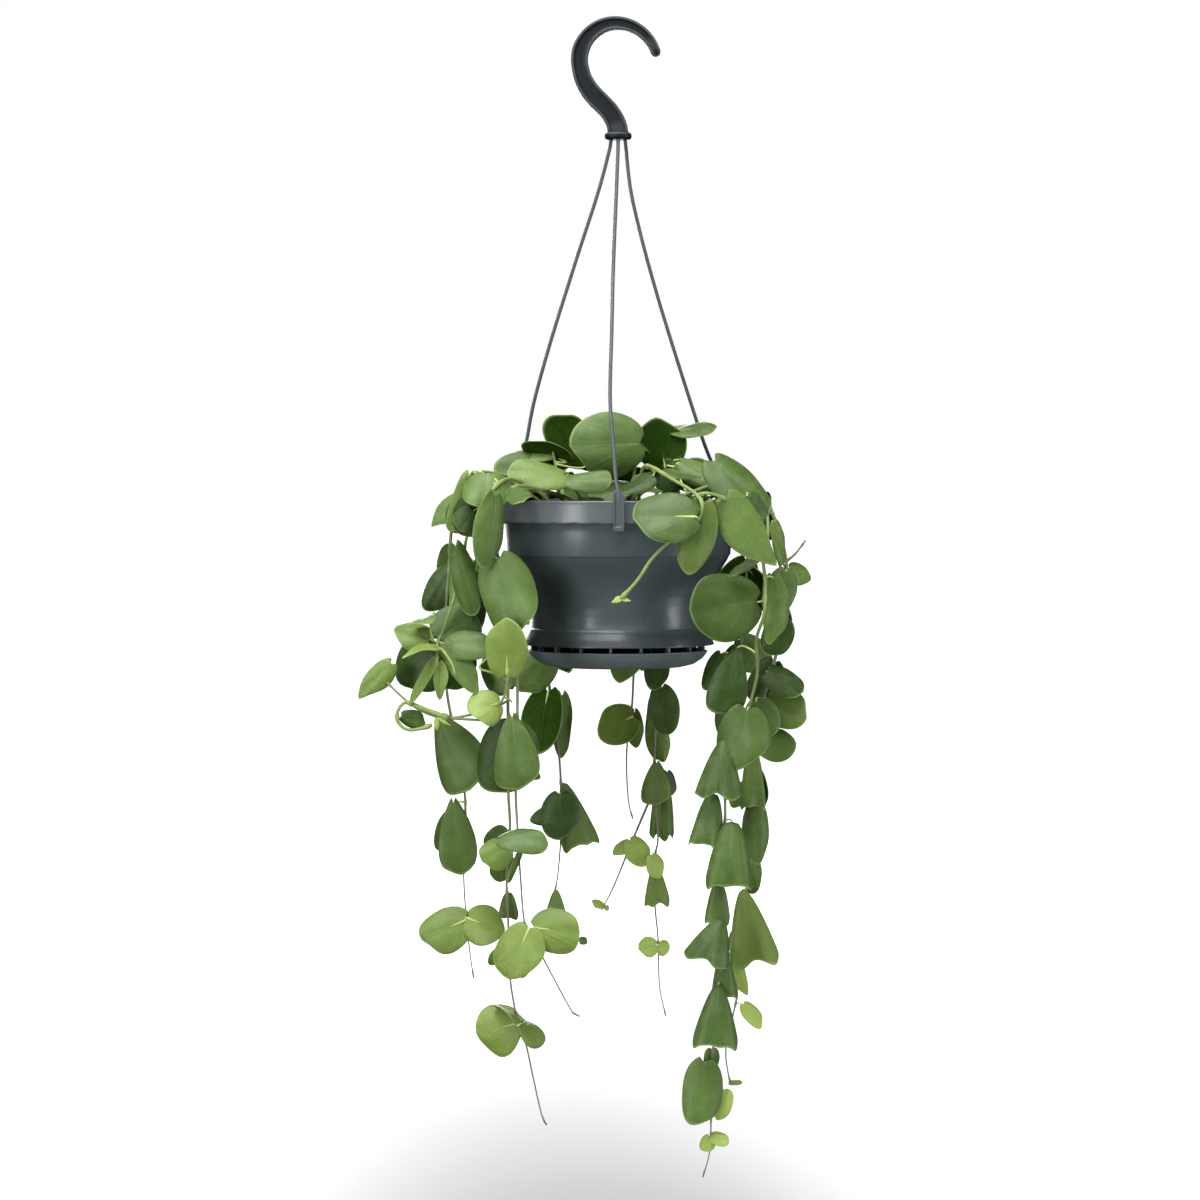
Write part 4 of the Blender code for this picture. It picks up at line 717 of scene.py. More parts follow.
def build_pot():
    outline, edge = pot_outline()

    def lugs(number, radius, height, angle):
        """Low lugs along the rim band's lower edge."""
        if number not in edge:
            return radius, height
        wave = math.cos(angle * LUGS) + 0.4 * math.cos(angle * 7 + 1)
        return radius, height - 0.45 * max(0.0, min(1.0, wave + 0.3))

    shell = mesh_of("pot_shell", *turned(outline, 170, lugs))
    pot = add_piece("pot_shell", shell, POT_PLASTIC, "pot_plastic", "pot", smooth_angle=38)
    drill = bmesh.new()
    for number in range(DRAINS):
        angle = math.tau * (number + 0.31) / DRAINS
        place = Vector((math.cos(angle) * DRAIN_CIRCLE, math.sin(angle) * DRAIN_CIRCLE, FLOOR_TOP)) * MM
        bmesh.ops.create_cone(drill, cap_ends=True, segments=24, radius1=DRAIN_RADIUS * MM,
                              radius2=DRAIN_RADIUS * MM, depth=0.01, matrix=Matrix.Translation(place))
    pins = bpy.data.meshes.new("drill")
    drill.to_mesh(pins)
    drill.free()
    cutter = bpy.data.objects.new("drill", pins)
    scene.collection.objects.link(cutter)
    holes = pot.modifiers.new("drain_holes", "BOOLEAN")
    holes.object = cutter
    graph = bpy.context.evaluated_depsgraph_get()
    drilled = bpy.data.meshes.new_from_object(pot.evaluated_get(graph))
    pot.modifiers.clear()
    pot.data = drilled
    bpy.data.objects.remove(cutter)
    return pot


print("pot:", len(build_pot().data.polygons), "faces with", DRAINS, "drain holes")

# %% [markdown]
# The saucer snaps under the skirt. Its ring of short ribs keeps an air gap between the two, which
# shows as a dark line with small ticks. Each rib is a narrow wedge, so eighteen of them are made
# as lofts round the circle and joined to the spun dish in one mesh, as they are in the mould.

# %% Saucer
SAUCER_TOP, SAUCER_BASE, RIBS = -378.2, -388.6, 18
SAUCER_OUTLINE = [
    (0, SAUCER_BASE + 1.6), (38.7, SAUCER_BASE + 1.6), (46.2, -385.3), (50.8, -382.0),
    (53.6, SAUCER_TOP - 0.3), (54.3, SAUCER_TOP), (55.2, SAUCER_TOP - 0.1), (54.9, -379.3),
    (53.6, -381.4), (52.0, -383.4), (46.8, -386.9), (41.6, -388.2), (39.7, SAUCER_BASE),
    (37.0, SAUCER_BASE), (36.4, SAUCER_BASE + 0.5), (0, SAUCER_BASE + 0.5),
]
RIB = [
    [(49.8, -0.8, -382.2), (49.8, 0.8, -382.2), (53.6, 0.8, -379.6), (53.6, -0.8, -379.6)],
    [(51.0, -0.5, -368.1), (51.0, 0.5, -368.1), (53.3, 0.5, -368.4), (53.3, -0.5, -368.4)],
]


def build_saucer():
    dish = turned(rounded(SAUCER_OUTLINE, 0.8, 2), 150)
    angles = [math.tau * (number + 0.25) / RIBS for number in range(RIBS)]
    ribs = [loft([spun(ring, angle) for ring in RIB]) for angle in angles]
    mesh = mesh_of("saucer_dish", *joined([dish, *ribs]))
    return add_piece("saucer_dish", mesh, SAUCER_PLASTIC, "pot_plastic", "drip_saucer", smooth_angle=38)


print("saucer:", len(build_saucer().data.polygons), "faces")

# %% [markdown]
# ## Potting mix
#
# The mix is a mound of bark crumb and peat with a few white grains of perlite. A bumpy texture
# alone would look flat at the rim, so the mound is a real rough surface and the crumbs on it are
# small lumps of their own, each a squashed ball pushed out of shape by its own few numbers. They
# are gathered in three pieces by what they are: peat mound, bark crumbs and perlite.

# %% Potting mix
SOIL_CENTRE, SOIL_FALL, SOIL_RADIUS = -297.4, 4.0, 68.6
MOUND_RINGS = 40


def soil_height(radius):
    """The mound's height, lower towards the wall."""
    return SOIL_CENTRE - SOIL_FALL * (radius / SOIL_RADIUS) ** 2


def crumb_finish(name, dark, light, roughness):
    finish = Finish(name, specular_ior_level=0.3)
    fine = finish.noise(900, 5, 0.7)
    patch = finish.noise(160, 3)
    lumps = 1 - finish.cells(650)
    tone = finish.mix((fine * 0.6 + patch * 0.5).rising(0.35, 0.8), dark, light)
    height = fine * 0.5 + lumps * 0.5
    return finish.feed(base_color=tone, roughness=roughness + fine * 0.15, normal=finish.bump(height, 0.5))


PEAT = crumb_finish("peat", (0.010, 0.006, 0.004), (0.045, 0.027, 0.016), 0.82)
BARK = crumb_finish("bark_crumb", (0.022, 0.012, 0.007), (0.12, 0.070, 0.040), 0.75)
PERLITE = crumb_finish("perlite", (0.45, 0.44, 0.42), (0.80, 0.79, 0.76), 0.8)


def build_mound():
    top = [(SOIL_RADIUS - 0.3) * k / MOUND_RINGS for k in range(1, MOUND_RINGS + 1)]
    lower = [(67.0, -318.0), (58.0, -335.0), (51.8, -356.0), (50.0, FLOOR_TOP + 0.3)]
    outline = [(0, soil_height(0)), *((r, soil_height(r)) for r in top), *lower, (0, FLOOR_TOP + 0.3)]

    def crumbly(number, radius, height, angle):
        if number >= len(top) - 1:
            return radius, height
        rough = math.sin(radius * 0.9 + 2.1 * math.sin(angle * 5)) * math.cos(angle * 11 + radius * 0.35)
        rough += 0.6 * math.sin(radius * 2.3 + angle * 23) + 0.5 * math.cos(angle * 37 - radius * 1.7)
        return radius, height + 0.45 * rough - 0.3

    mesh = mesh_of("peat_mound", *turned(outline, 132, crumbly))
    return add_piece("peat_mound", mesh, PEAT, "potting_mix", "soil")


def build_crumbs(name, material, count, sizes, seed):
    """Lumps of rough ball, scattered over the mound and half sunk in it."""
    draw = np.random.default_rng(seed)
    ball = bmesh.new()
    bmesh.ops.create_icosphere(ball, subdivisions=2, radius=1)
    shell = np.array([v.co[:] for v in ball.verts])
    triangles = [[v.index for v in face.verts] for face in ball.faces]
    ball.free()
    lumps = []
    for _ in range(count):
        radius = SOIL_RADIUS * 0.955 * math.sqrt(draw.random())
        angle = draw.random() * math.tau
        size = draw.uniform(*sizes)
        stretch = draw.uniform(0.45, 1.25, 3) * size
        waves, phase = draw.normal(0, 2.2, (3, 3)), draw.uniform(0, math.tau, 3)
        swell = 1 + 0.16 * np.sin(shell @ waves.T + phase).sum(axis=1)
        turn = np.array(Matrix.Rotation(draw.random() * math.tau, 3, draw.normal(0, 1, 3)))
        height = soil_height(radius) + size * 0.15
        spot = np.array([radius * math.cos(angle), radius * math.sin(angle), height])
        lumps.append(((shell * swell[:, None] * stretch) @ turn.T + spot, triangles))
    return add_piece(name, mesh_of(name, *joined(lumps)), material, "potting_mix", "soil")


mix = [
    build_mound(),
    build_crumbs("bark_crumbs", BARK, 620, (0.9, 2.6), 11),
    build_crumbs("perlite_grains", PERLITE, 46, (0.6, 1.3), 12),
]
print("potting mix:", sum(len(piece.data.polygons) for piece in mix), "faces")

# %% [markdown]
# ## Leaves: the finish
#
# A dischidia leaf is thick and waxy, so it shines softly, and a little light passes through it:
# the blade gets some subsurface scattering, with a reach of about its own thickness. Its colour
# could be one green with noise, but a real leaf is drawn by its own plan. So each leaf mesh
# carries two vectors. `blade` says where a point lies: how far round the leaf, how far out from
# the stalk, and on which side. `leaf` holds the leaf's youth, its own shade and a free number;
# the youth also carries painted light and shade, low on leaves that are to look shaded and high
# on some that are to look lit. Young leaves are yellow green, old ones deep green with a haze of
# wax. The midrib and a fan of faint veins are paler, and so is the thin margin.

# %% Leaf finish


def leaf_finish():
    finish = Finish("leaf", ior=1.42, specular_ior_level=0.05, coat_roughness=0.5, coat_ior=1.5,
                    subsurface_weight=0.3, subsurface_scale=1.6 * MM, subsurface_radius=(0.55, 1.0, 0.18))
    turn, reach, side = finish.attribute("blade")
    youth_and_painted_light, shade, own = finish.attribute("leaf")
    blotches = finish.noise(85, 3, 0.55)
    fine = finish.noise(520, 4, 0.6)
    # Youth also paints light and shade: low on leaves that are to look shaded, high on some that are to look
    # lit.
    young_and_lit = (youth_and_painted_light + (blotches - 0.5) * 0.3 + (shade - 0.5) * 0.3).least(1).most(0)
    green = finish.ramp(young_and_lit, (0.0, (0.022, 0.050, 0.004)), (0.3, (0.070, 0.122, 0.021)),
                        (0.6, (0.135, 0.198, 0.037)), (1.0, (0.290, 0.385, 0.088)))
    under = side.rising(0.9, 0.1)
    # Painted shade: the under side is turned a deep dark green, for the shade it hangs in.
    green = finish.mix(under * 0.8 * (1 - young_and_lit * 0.4), green, (0.011, 0.036, 0.0006))
    haze = (fine.rising(0.3, 0.75) * 0.08 + blotches.rising(0.45, 0.75) * 0.1) * (1 - under * 0.9)
    green = finish.mix(haze * (1 - youth_and_painted_light * 0.5), green, (0.17, 0.225, 0.135))
    rib = (1 - (abs(turn) * reach).rising(0.0, 0.025)) * (1 - reach.rising(0.15, 0.6))
    fan = finish.node("ShaderNodeMath", {"operation": "SINE"}, {0: abs(turn) * 26 + own * 3})
    veins = fan.rising(0.72, 1.0) * reach.rising(0.1, 0.35) * (1 - reach.rising(0.75, 0.98))
    margin = reach.rising(0.955, 0.985)
    stalk = 1 - side.rising(-0.6, -0.2)
    pale = (rib * 0.12 + veins * 0.012 + margin * 0.5).least(0.6) * (1 - stalk)
    green = finish.mix(pale, green, (0.24, 0.32, 0.11))
    green = finish.mix(stalk, green, (0.42, 0.50, 0.17))
    spot = finish.cells(155)
    specks = (1 - spot.rising(0.04, 0.085)) * finish.noise(30, 1, vector=finish.place(3)).rising(0.56, 0.66)
    green = finish.mix(specks * 0.75, green, (0.035, 0.05, 0.02))
    rough = 0.37 + fine * 0.12 + haze * 0.5 + under * 0.12 - margin * 0.05
    relief = fine * 0.25 + blotches * 0.6 + veins * 0.08 - rib * 0.2
    wax = (1 - under) * 0.5
    return finish.feed(base_color=green, roughness=rough, coat_weight=wax, normal=finish.bump(relief, 2.0))


LEAF = leaf_finish()
print("leaf finish:", len(LEAF.node_tree.nodes), "nodes")

# %% [markdown]
# Stems start as smooth pale green shoots and turn grey brown and finely wrinkled as they harden.
# The mesh carries that as `stem`: its age, and how near it is to a node where leaves sit.

# %% Stem finish


def stem_finish():
    finish = Finish("stem", ior=1.45, specular_ior_level=0.35)
    age, node, _ = finish.attribute("stem")
    wrinkles = finish.noise(1500, 3, 0.6, finish.stretched((1, 1, 0.12)))
    patches = finish.noise(140, 3)
    old = (age + (patches - 0.5) * 0.5).least(1).most(0)
    tone = finish.ramp(old, (0.0, (0.200, 0.280, 0.075)), (0.35, (0.140, 0.180, 0.060)),
                       (0.7, (0.150, 0.142, 0.108)), (1.0, (0.135, 0.122, 0.102)))
    tone = finish.mix(wrinkles.rising(0.4, 0.7) * 0.3, tone, (0.05, 0.042, 0.03))
    tone = finish.mix(node * 0.3, tone, (0.26, 0.30, 0.13))
    rough = 0.45 + age * 0.2 + wrinkles * 0.1
    return finish.feed(base_color=tone, roughness=rough, normal=finish.bump(wrinkles + patches * 0.4, 0.12))


STEM = stem_finish()
print("stem finish:", len(STEM.node_tree.nodes), "nodes")

# %% [markdown]
# ## Leaves: the shape
#
# Every leaf of this plant is one rounded heart, but it hangs in its own way. An *open* leaf is a
# shallow dome, an *ovate* one is narrower towards its tip, a *pear* is drawn in near its stalk and
# a *trough* curls its sides up. A *cape* hangs point up, folded round the stem like a cloak, and a
# *hood* is a cape with a round top. A *wing* is an open leaf whose stalk lies on the side that
# shows. Sculpting 188 leaves would take a week and scattering one leaf would look like plastic. So
# the blade is a formula of two numbers, `turn` round the leaf and `reach` out from the stalk. It is
# sampled finely, given thickness with a rounded margin, and each leaf gets its own waves, cupping
# and twist.

# %% Leaf blade
SINUS = math.radians(165)  # half the angle that the blade takes up round its stalk
WRAP = math.radians(125)  # the same, for a cape round its stem
LOBE = 0.12  # how far the base lobes reach back past the stalk, as a share of the length
BLADE_THICKNESS = 1.15
# How far each open kind is drawn in at its stalk and at its tip, and how strongly it bends across.
KINDS = {
    "open": (0.0, 0.0, 0.55), "wing": (0.0, 0.0, 0.4), "ovate": (0.0, 0.5, 0.6),
    "pear": (0.78, 0.0, 0.9), "trough": (0.1, 0.45, -0.8),
}
REACHES = np.array([0.04, 0.1, 0.19, 0.3, 0.42, 0.54, 0.66, 0.77, 0.86, 0.925, 0.965, 0.988, 1.0])


def blade_places(shape, turn, reach):
    """Points (x across, y towards the tip, z out of the upper side) for arrays of turn and reach."""
    kind, length, width, lean, wave = shape
    ripple = np.sin(turn * wave[0] * 6 + wave[1]) * reach**2 * length * 0.038
    ripple = ripple + np.sin(turn * 15 + wave[2]) * reach**4 * length * 0.012
    if kind in ("cape", "hood"):
        swell = reach ** (0.62 if kind == "cape" else 0.42)
        around = turn * WRAP
        notch = 0.07 * np.exp(-(((turn - wave[3] * 0.1) / 0.16) ** 2)) * reach
        fall = length * (1 - notch - 0.9 * np.maximum(0, abs(turn) - 0.42) ** 2)
        crease = width * 0.09 * np.exp(-(((turn - wave[3] * 0.1) / 0.13) ** 2)) * reach**3
        x = width / 2 * swell * np.sin(around) * (1 + 0.08 * wave[4] * turn)
        z = width / 4 * swell * np.cos(around) - crease + ripple
        fall = fall * (1 + 0.03 * np.sin(turn * 11 + wave[2]))
        return np.stack([x, reach * fall, z], axis=-1)
    stalk_draw, tip_draw, bend = KINDS[kind]
    around = turn * SINUS
    y = length * ((1 + LOBE) * (0.5 + 0.5 * np.cos(around)) - LOBE)
    y = y + length * (0.02 + 0.02 * wave[3]) * np.exp(-((turn / 0.09) ** 2)) * reach**3
    along = np.clip(y / length, 0, 1)
    x = width / 2 * np.sin(around) * (1 + 0.06 * wave[4] * np.cos(around))
    x = x * (1 - stalk_draw * (1 - np.clip(y / length + 0.12, 0, 1))) * (1 - tip_draw * along**1.6)
    x = x + lean * width * np.sin(np.pi * along)
    wobble = 1 + reach**2 * (0.035 * np.sin(turn * wave[0] * 7) + 0.022 * np.sin(turn * 12 + wave[2]))
    x, y = reach * wobble * x, reach * wobble * y
    radius = width / 2 / bend
    fold = 0.05 * width * np.exp(-((x / width / 0.09) ** 2)) * reach
    cup = 0.12 + 0.08 * wave[5]
    twist = 0.5 * wave[6] * x * y / length - 0.03 * width * reach**8
    z = twist - radius * (1 - np.cos(x / radius)) - cup * length * (y / length) ** 2 - fold + ripple
    return np.stack([radius * np.sin(x / radius), y, z], axis=-1)


def rounded_off(share, start):
    """1 up to `start`, then falling like a quarter circle to 0 at 1."""
    return np.sqrt(np.clip(1 - (np.maximum(0, share - start) / (1 - start)) ** 2, 0, 1))


def leaf_blade(shape):
    """(points, faces, blade vectors) of one closed blade."""
    length = shape[1]
    sectors = 44 if length > 26 else 32 if length > 12 else 20
    turns = np.linspace(-1, 1, sectors + 1)
    turns = np.sign(turns) * np.abs(turns) ** 0.9
    turn, reach = np.meshgrid(turns, REACHES)
    here = blade_places(shape, turn, reach)
    step = 1e-3
    outward = here - blade_places(shape, turn, reach - step)
    around = blade_places(shape, turn + step, reach) - here
    normal = np.cross(around, outward)
    normal /= np.linalg.norm(normal, axis=-1, keepdims=True)
    thin = max(0.55, min(1.0, length / 28))
    half = BLADE_THICKNESS / 2 * thin * (1.15 - 0.35 * reach)
    half = half * rounded_off(reach, 0.9) * rounded_off(abs(turn), 0.94)
    lift = (half[..., None] * normal).reshape(-1, 3)
    flat = here.reshape(-1, 3)
    count = len(flat)
    centre = blade_places(shape, np.zeros(1), np.full(1, 1e-4))[0]
    middle = np.array([0, 0, BLADE_THICKNESS * 0.6 * thin])
    points = np.concatenate([flat + lift, flat - lift, [centre + middle, centre - middle]])
    spot = np.stack([turn.ravel(), reach.ravel()], axis=-1)
    upper, under = np.c_[spot, np.ones(count)], np.c_[spot, np.zeros(count)]
    vectors = np.concatenate([upper, under, [(0, 0, 1), (0, 0, 0)]])
    wide, rings = sectors + 1, len(REACHES)

    def number(ring, i, top):
        """The margin and the two base edges have one vertex that both sides share."""
        shared = ring == rings - 1 or i in (0, sectors)
        return ring * wide + i + (0 if top or shared else count)

    faces = []
    for top in (True, False):
        skin = []
        for i in range(sectors):
            skin.append((2 * count + (not top), number(0, i, top), number(0, i + 1, top)))
            for ring in range(rings - 1):
                a, b = number(ring, i, top), number(ring, i + 1, top)
                skin.append((a, number(ring + 1, i, top), number(ring + 1, i + 1, top), b))
        faces += [face[::-1] for face in skin] if top else skin
    faces += [(0, 2 * count + 1, 2 * count), (sectors, 2 * count, 2 * count + 1)]
    return points, faces, vectors


print("a blade has", len(leaf_blade(("open", 30, 30, 0, np.zeros(7)))[1]), "faces")

# %% [markdown]
# ## Leaf stalks
#
# A short stalk springs from the stem, thickens at a little joint where it meets the blade and runs
# on along it as a pale bar, on the under side of most leaves and over the face of a wing. It could
# be a curve object with a bevel; a swept tube is used because its thickness has to change along it
# and because it then belongs to its leaf's own mesh.

# %% Leaf stalk and whole leaf
STALK_RADIUS = 0.62


def nearest_on(routes, place):
    """The point of any of the routes that lies nearest to the place."""
    best = None
    for route in routes:
        for a, b in zip(route, route[1:]):
            step = b - a
            share = min(1.0, max(0.0, (place - a).dot(step) / step.length_squared))
            here = a + step * share
            if best is None or (here - place).length < (best - place).length:
                best = here
    return best


def leaf_stalk(start, foot, basis, shape):
    """(points, faces) of the stalk from the stem to the blade and of the bar along the blade."""
    kind, length = shape[:2]
    face = 1 if kind == "wing" else -1
    bar_length = 0.36 if kind == "wing" else 0.2
    bar = []
    for share in np.linspace(0.02, bar_length, 7):
        x, y, z = blade_places(shape, np.zeros(1), np.full(1, share))[0]
        bar.append(foot + basis @ Vector((x, y, z + face * (BLADE_THICKNESS * 0.45 + 0.1))))
    reach = (bar[0] - start).length
    pull = bar[0] - (bar[1] - bar[0]).normalized() * reach * 0.45
    steps = max(3, min(14, round(reach / 1.4)))
    route = arc(start, pull, bar[0], [k / steps for k in range(steps)]) + bar
    radii = [STALK_RADIUS * (1.15 - 0.25 * math.sin(math.pi * k / steps)) for k in range(steps)]
    radii += [STALK_RADIUS * r for r in (1.25, 1.15, 0.95, 0.8, 0.65, 0.45, 0.15)]
    slim = max(0.5, min(1.0, length / 24))
    return loft(sweep(route, lambda k: round_section(radii[k] * slim, 8), Vector((0.31, 0.59, 0.74))))


def build_leaf(name, vine, routes, seed, kind, foot, tip, width, azimuth, elevation, youth_and_painted_light, lean=0):
    draw = np.random.default_rng(seed)
    # How many ripples, where two of them start, and how far its tip, sides, cup and twist are its own.
    wave = draw.uniform(-1, 1, 7) * [0.25, 3, 3, 1, 1, 1, 1] + [1, 0, 0, 0, 0, 0, 0]
    foot, tip = Vector(foot), Vector(tip)
    length = (tip - foot).length
    axis = (tip - foot).normalized()
    azimuth, elevation = math.radians(azimuth), math.radians(elevation)
    level = math.cos(elevation)
    facing = Vector((level * math.cos(azimuth), level * math.sin(azimuth), math.sin(elevation)))
    normal = (facing - axis * facing.dot(axis)).normalized()
    basis = Matrix((axis.cross(normal), axis, normal)).transposed()
    shape = (kind, length, width, lean, wave)
    points, faces, vectors = leaf_blade(shape)
    blade = (points @ np.array(basis).T + np.array(foot), faces)
    stalk = leaf_stalk(nearest_on(routes, foot), foot, basis, shape)
    points, faces = joined([blade, stalk])
    vectors = np.concatenate([vectors, np.tile([0, 0.5, -1], (len(stalk[0]), 1))])
    # The under side's points on the margin and the base edges belong to no face, so they are left out.
    used = np.bincount(np.concatenate(faces), minlength=len(points)) > 0
    order = np.cumsum(used) - 1
    mesh = mesh_of(name, np.array(points)[used], [tuple(order[list(face)]) for face in faces])
    mark(mesh, "blade", vectors[used])
    mark(mesh, "leaf", np.tile([youth_and_painted_light, draw.random(), draw.random()], (used.sum(), 1)))
    return add_piece(name, mesh, LEAF, "foliage", vine)


print("leaf builder ready")

# %% [markdown]
# ## Stems
#
# A stem is a thin tube that tapers from the soil to its tip, swells a little at each node where a
# pair of leaves sits, and ends in a small bud. Its route is a smooth curve through a few points.

# %% Stem
STEM_RADIUS, STEM_SIDES = 1.15, 10


def build_stem(name, vine, routes, growth, feet):
    """One mesh for all the stems of a vine, each growing as (age at its start, at its end, tip radius)."""
    solids, vectors = [], []
    for number, (route, (first_age, last_age, tip_radius)) in enumerate(zip(routes, growth)):
        last = len(route) - 1
        base = STEM_RADIUS if number == 0 else max(tip_radius, STEM_RADIUS * 0.75)
        nearness = []
        for place in route:
            gap = min(((place - foot).length for foot in feet), default=99.0)
            nearness.append(math.exp(-((gap / 1.8) ** 2)))
        radii = [base + (tip_radius - base) * (k / last) ** 1.6 + 0.4 * nearness[k] for k in range(last + 1)]
        radii[-3:] = [tip_radius * 1.1, tip_radius * 1.7, tip_radius * 1.1]
        rings = sweep(route, lambda k: round_section(radii[k], STEM_SIDES), Vector((0.9, 0.1, 0.3)))
        solids.append(loft(rings))
        for k in range(last + 1):
            age = first_age + (last_age - first_age) * k / last
            vectors += [(age, nearness[k], 0)] * STEM_SIDES
    mesh = mesh_of(name, *joined(solids))
    mark(mesh, "stem", vectors)
    return add_piece(name, mesh, STEM, "foliage", vine)


def rooted(stem):
    """The stem with a point under the surface of the mix and one straight above it."""
    x, y, _ = stem[0]
    ground = soil_height(math.hypot(x, y))
    return [(x, y, ground - 3), (x, y, ground + 5), *stem[1:]]


print("stem builder ready")

# %% [markdown]
# ## The vines
#
# Where each vine runs is the plant's own character, so it is written down and not drawn at random.
# A vine has its stems, each with its age at the start and at the end, its radius at the tip and the
# points that it passes through, and its leaves. A leaf's row holds its kind, the point where its
# stalk meets the blade, its tip, its width, the azimuth and elevation that its upper side faces,
# its youth, which also paints light and shade on the leaf, and, where it has one, how far its
# middle leans to one side as a share of its width.

# %% The table of vines
VINES = {}
VINES["vine_right_front"] = [
    (0.05, 0.75, 0.36, [(30, -18, -296), (37, -30, -286), (49, -38, -280), (66, -38, -276), (81, -42, -279),
     (88, -52, -291), (89, -62, -307), (86, -70, -322), (87, -76, -336), (86, -78, -354), (82, -68, -369),
     (83, -56, -390), (78, -50, -412), (73, -48, -433), (65, -48, -456), (64, -48, -480), (61, -48, -507),
     (60, -48, -531), (62, -48, -555), (61, -48, -579), (58, -48, -609), (56, -48, -629), (56, -47, -659),
     (55, -47, -680), (51, -47, -695)]),
], [
    ("open", (58, -44, -263), (89, -62, -292), 34, -80, 32, 0.22),
    ("open", (77, -62, -284), (87, -62, -308), 22, -65, 25, 0.24),
    ("open", (82, -66, -322), (65, -68, -329), 9, -98, 55, 0.25),
    ("open", (82, -62, -347), (44, -72, -350), 43, -95, 10, 0.29),
    ("open", (92, -70, -333), (91, -72, -371), 17, -88, 28, 0.45, -0.15),
    ("pear", (71, -56, -375), (61, -62, -413), 33, -100, 0, 0.02),
    ("open", (77, -58, -412), (71, -66, -445), 33, -92, 12, 0.1),
    ("cape", (63, -54, -430), (60, -58, -465), 28, -105, 0, 0.14),
    ("hood", (57, -44, -463), (52, -50, -495), 21, -118, 0, 0.05),
    ("hood", (68, -54, -479), (66, -60, -519), 28, -90, 0, 0.08),
    ("hood", (60, -50, -516), (59, -52, -541), 15, -95, 0, 0.3),
    ("cape", (62, -54, -537), (51, -60, -564), 28, -105, 0, 0.2),
    ("cape", (63, -44, -558), (64, -48, -587), 16, -85, 0, 0.35),
    ("cape", (60, -54, -577), (58, -60, -615), 27, -92, 0, 0.09),
    ("open", (52, -52, -625), (48, -60, -661), 26, -92, 12, 0.35),
    ("open", (57, -46, -618), (57, -46, -635), 13, -60, -15, 0.18),
    ("open", (58, -46, -658), (65, -48, -642), 16, -90, 25, 1),
    ("open", (55, -47, -670), (52, -49, -679), 10, -95, 30, 1),
    ("open", (56, -47, -670), (67, -49, -672), 10, -88, 30, 1),
    ("open", (38, -26, -264), (66, -36, -276), 16, -95, 52, 0.2),
]
VINES["vine_right_side"] = [
    (0.35, 0.8, 0.4, [(44, 8, -297), (59, 2, -284), (75, -4, -276), (89, -12, -285), (97, -18, -304),
     (102, -18, -324), (101, -16, -353), (97, -14, -378), (91, -12, -402), (86, -12, -432), (83, -12, -463),
     (81, -12, -487), (81, -12, -508), (78, -14, -527), (73, -16, -548), (71, -16, -571), (73, -16, -586),
     (70, -16, -603), (66, -16, -622), (67, -16, -635), (69, -16, -644)]),
    (0.4, 0.3, 0.5, [(102, -18, -324), (108, -18, -319), (114, -18, -311)]),
], [
    ("open", (100, -22, -325), (99, -26, -300), 13, -30, 15, 0.45),
    ("open", (104, -18, -328), (117, -20, -334), 17, -80, 25, 0.29),
    ("open", (102, -24, -330), (95, -32, -355), 21, -75, 10, 0.22),
    ("open", (100, -22, -359), (93, -24, -381), 21, -100, -25, 0.05),
    ("open", (91, -20, -391), (113, -24, -401), 23, -92, 36, 0.04),
    ("open", (95, -10, -386), (84, -4, -412), 22, -95, -10, 0.02),
    ("open", (92, -16, -408), (114, -22, -418), 27, -86, 18, 0.26),
    ("open", (84, -26, -409), (92, -32, -430), 22, -95, 10, 0.12),
    ("open", (85, -12, -435), (108, -14, -434), 22, -90, 30, 0.34),
    ("hood", (82, -14, -438), (82, -18, -475), 15, -88, 0, 0.3),
    ("open", (77, -16, -460), (71, -18, -474), 12, -90, -15, 0.3),
    ("open", (84, -14, -473), (86, -20, -508), 18, -80, 15, 0.35),
    ("open", (83, -12, -507), (84, -10, -529), 11, -80, 5, 0.4),
    ("cape", (76, -18, -524), (84, -26, -570), 30, -92, 0, 0.5),
    ("open", (74, -14, -550), (77, -16, -572), 18, -100, -20, 0.55),
    ("open", (68, -20, -563), (78, -24, -587), 10, -100, 15, 0.9),
    ("open", (77, -16, -595), (88, -18, -608), 11, -90, 20, 1),
    ("open", (68, -16, -643), (76, -17, -642), 4, -90, 30, 0.5),
    ("open", (89, 0, -282), (81, 22, -303), 20, 60, 20, 0.21),
    ("open", (101, -10, -349), (103, 8, -372), 21, 40, 10, 0.24),
    ("open", (85, -6, -451), (89, 8, -474), 16, 60, 5, 0.21),
    ("open", (81, -8, -493), (77, 6, -519), 16, 110, 5, 0.08),
]
VINES["vine_right_back"] = [
    (0.7, 0.8, 0.5, [(37, 26, -297), (50, 40, -283), (65, 54, -275), (78, 64, -286), (82, 62, -319),
     (80, 58, -350), (77, 54, -381), (71, 52, -406), (69, 52, -419)]),
], [
    ("open", (65, 50, -384), (56, 44, -405), 15, -102, -5, 0.13),
    ("open", (77, 52, -382), (86, 48, -394), 13, -80, 0, 0.14),
    ("open", (78, 60, -375), (99, 62, -393), 18, -60, -10, 0.28),
    ("open", (79, 66, -287), (60, 84, -311), 26, 95, 20, 0.25),
    ("open", (82, 64, -291), (106, 60, -310), 26, 40, 25, 0.12),
    ("open", (81, 64, -325), (66, 78, -354), 27, 100, 10, 0.26),
    ("open", (82, 62, -329), (103, 58, -354), 24, 30, 10, 0.11),
    ("open", (75, 58, -381), (66, 68, -413), 18, 95, 5, 0.22),
    ("open", (69, 52, -412), (65, 50, -434), 13, -100, 0, 0.11),
]
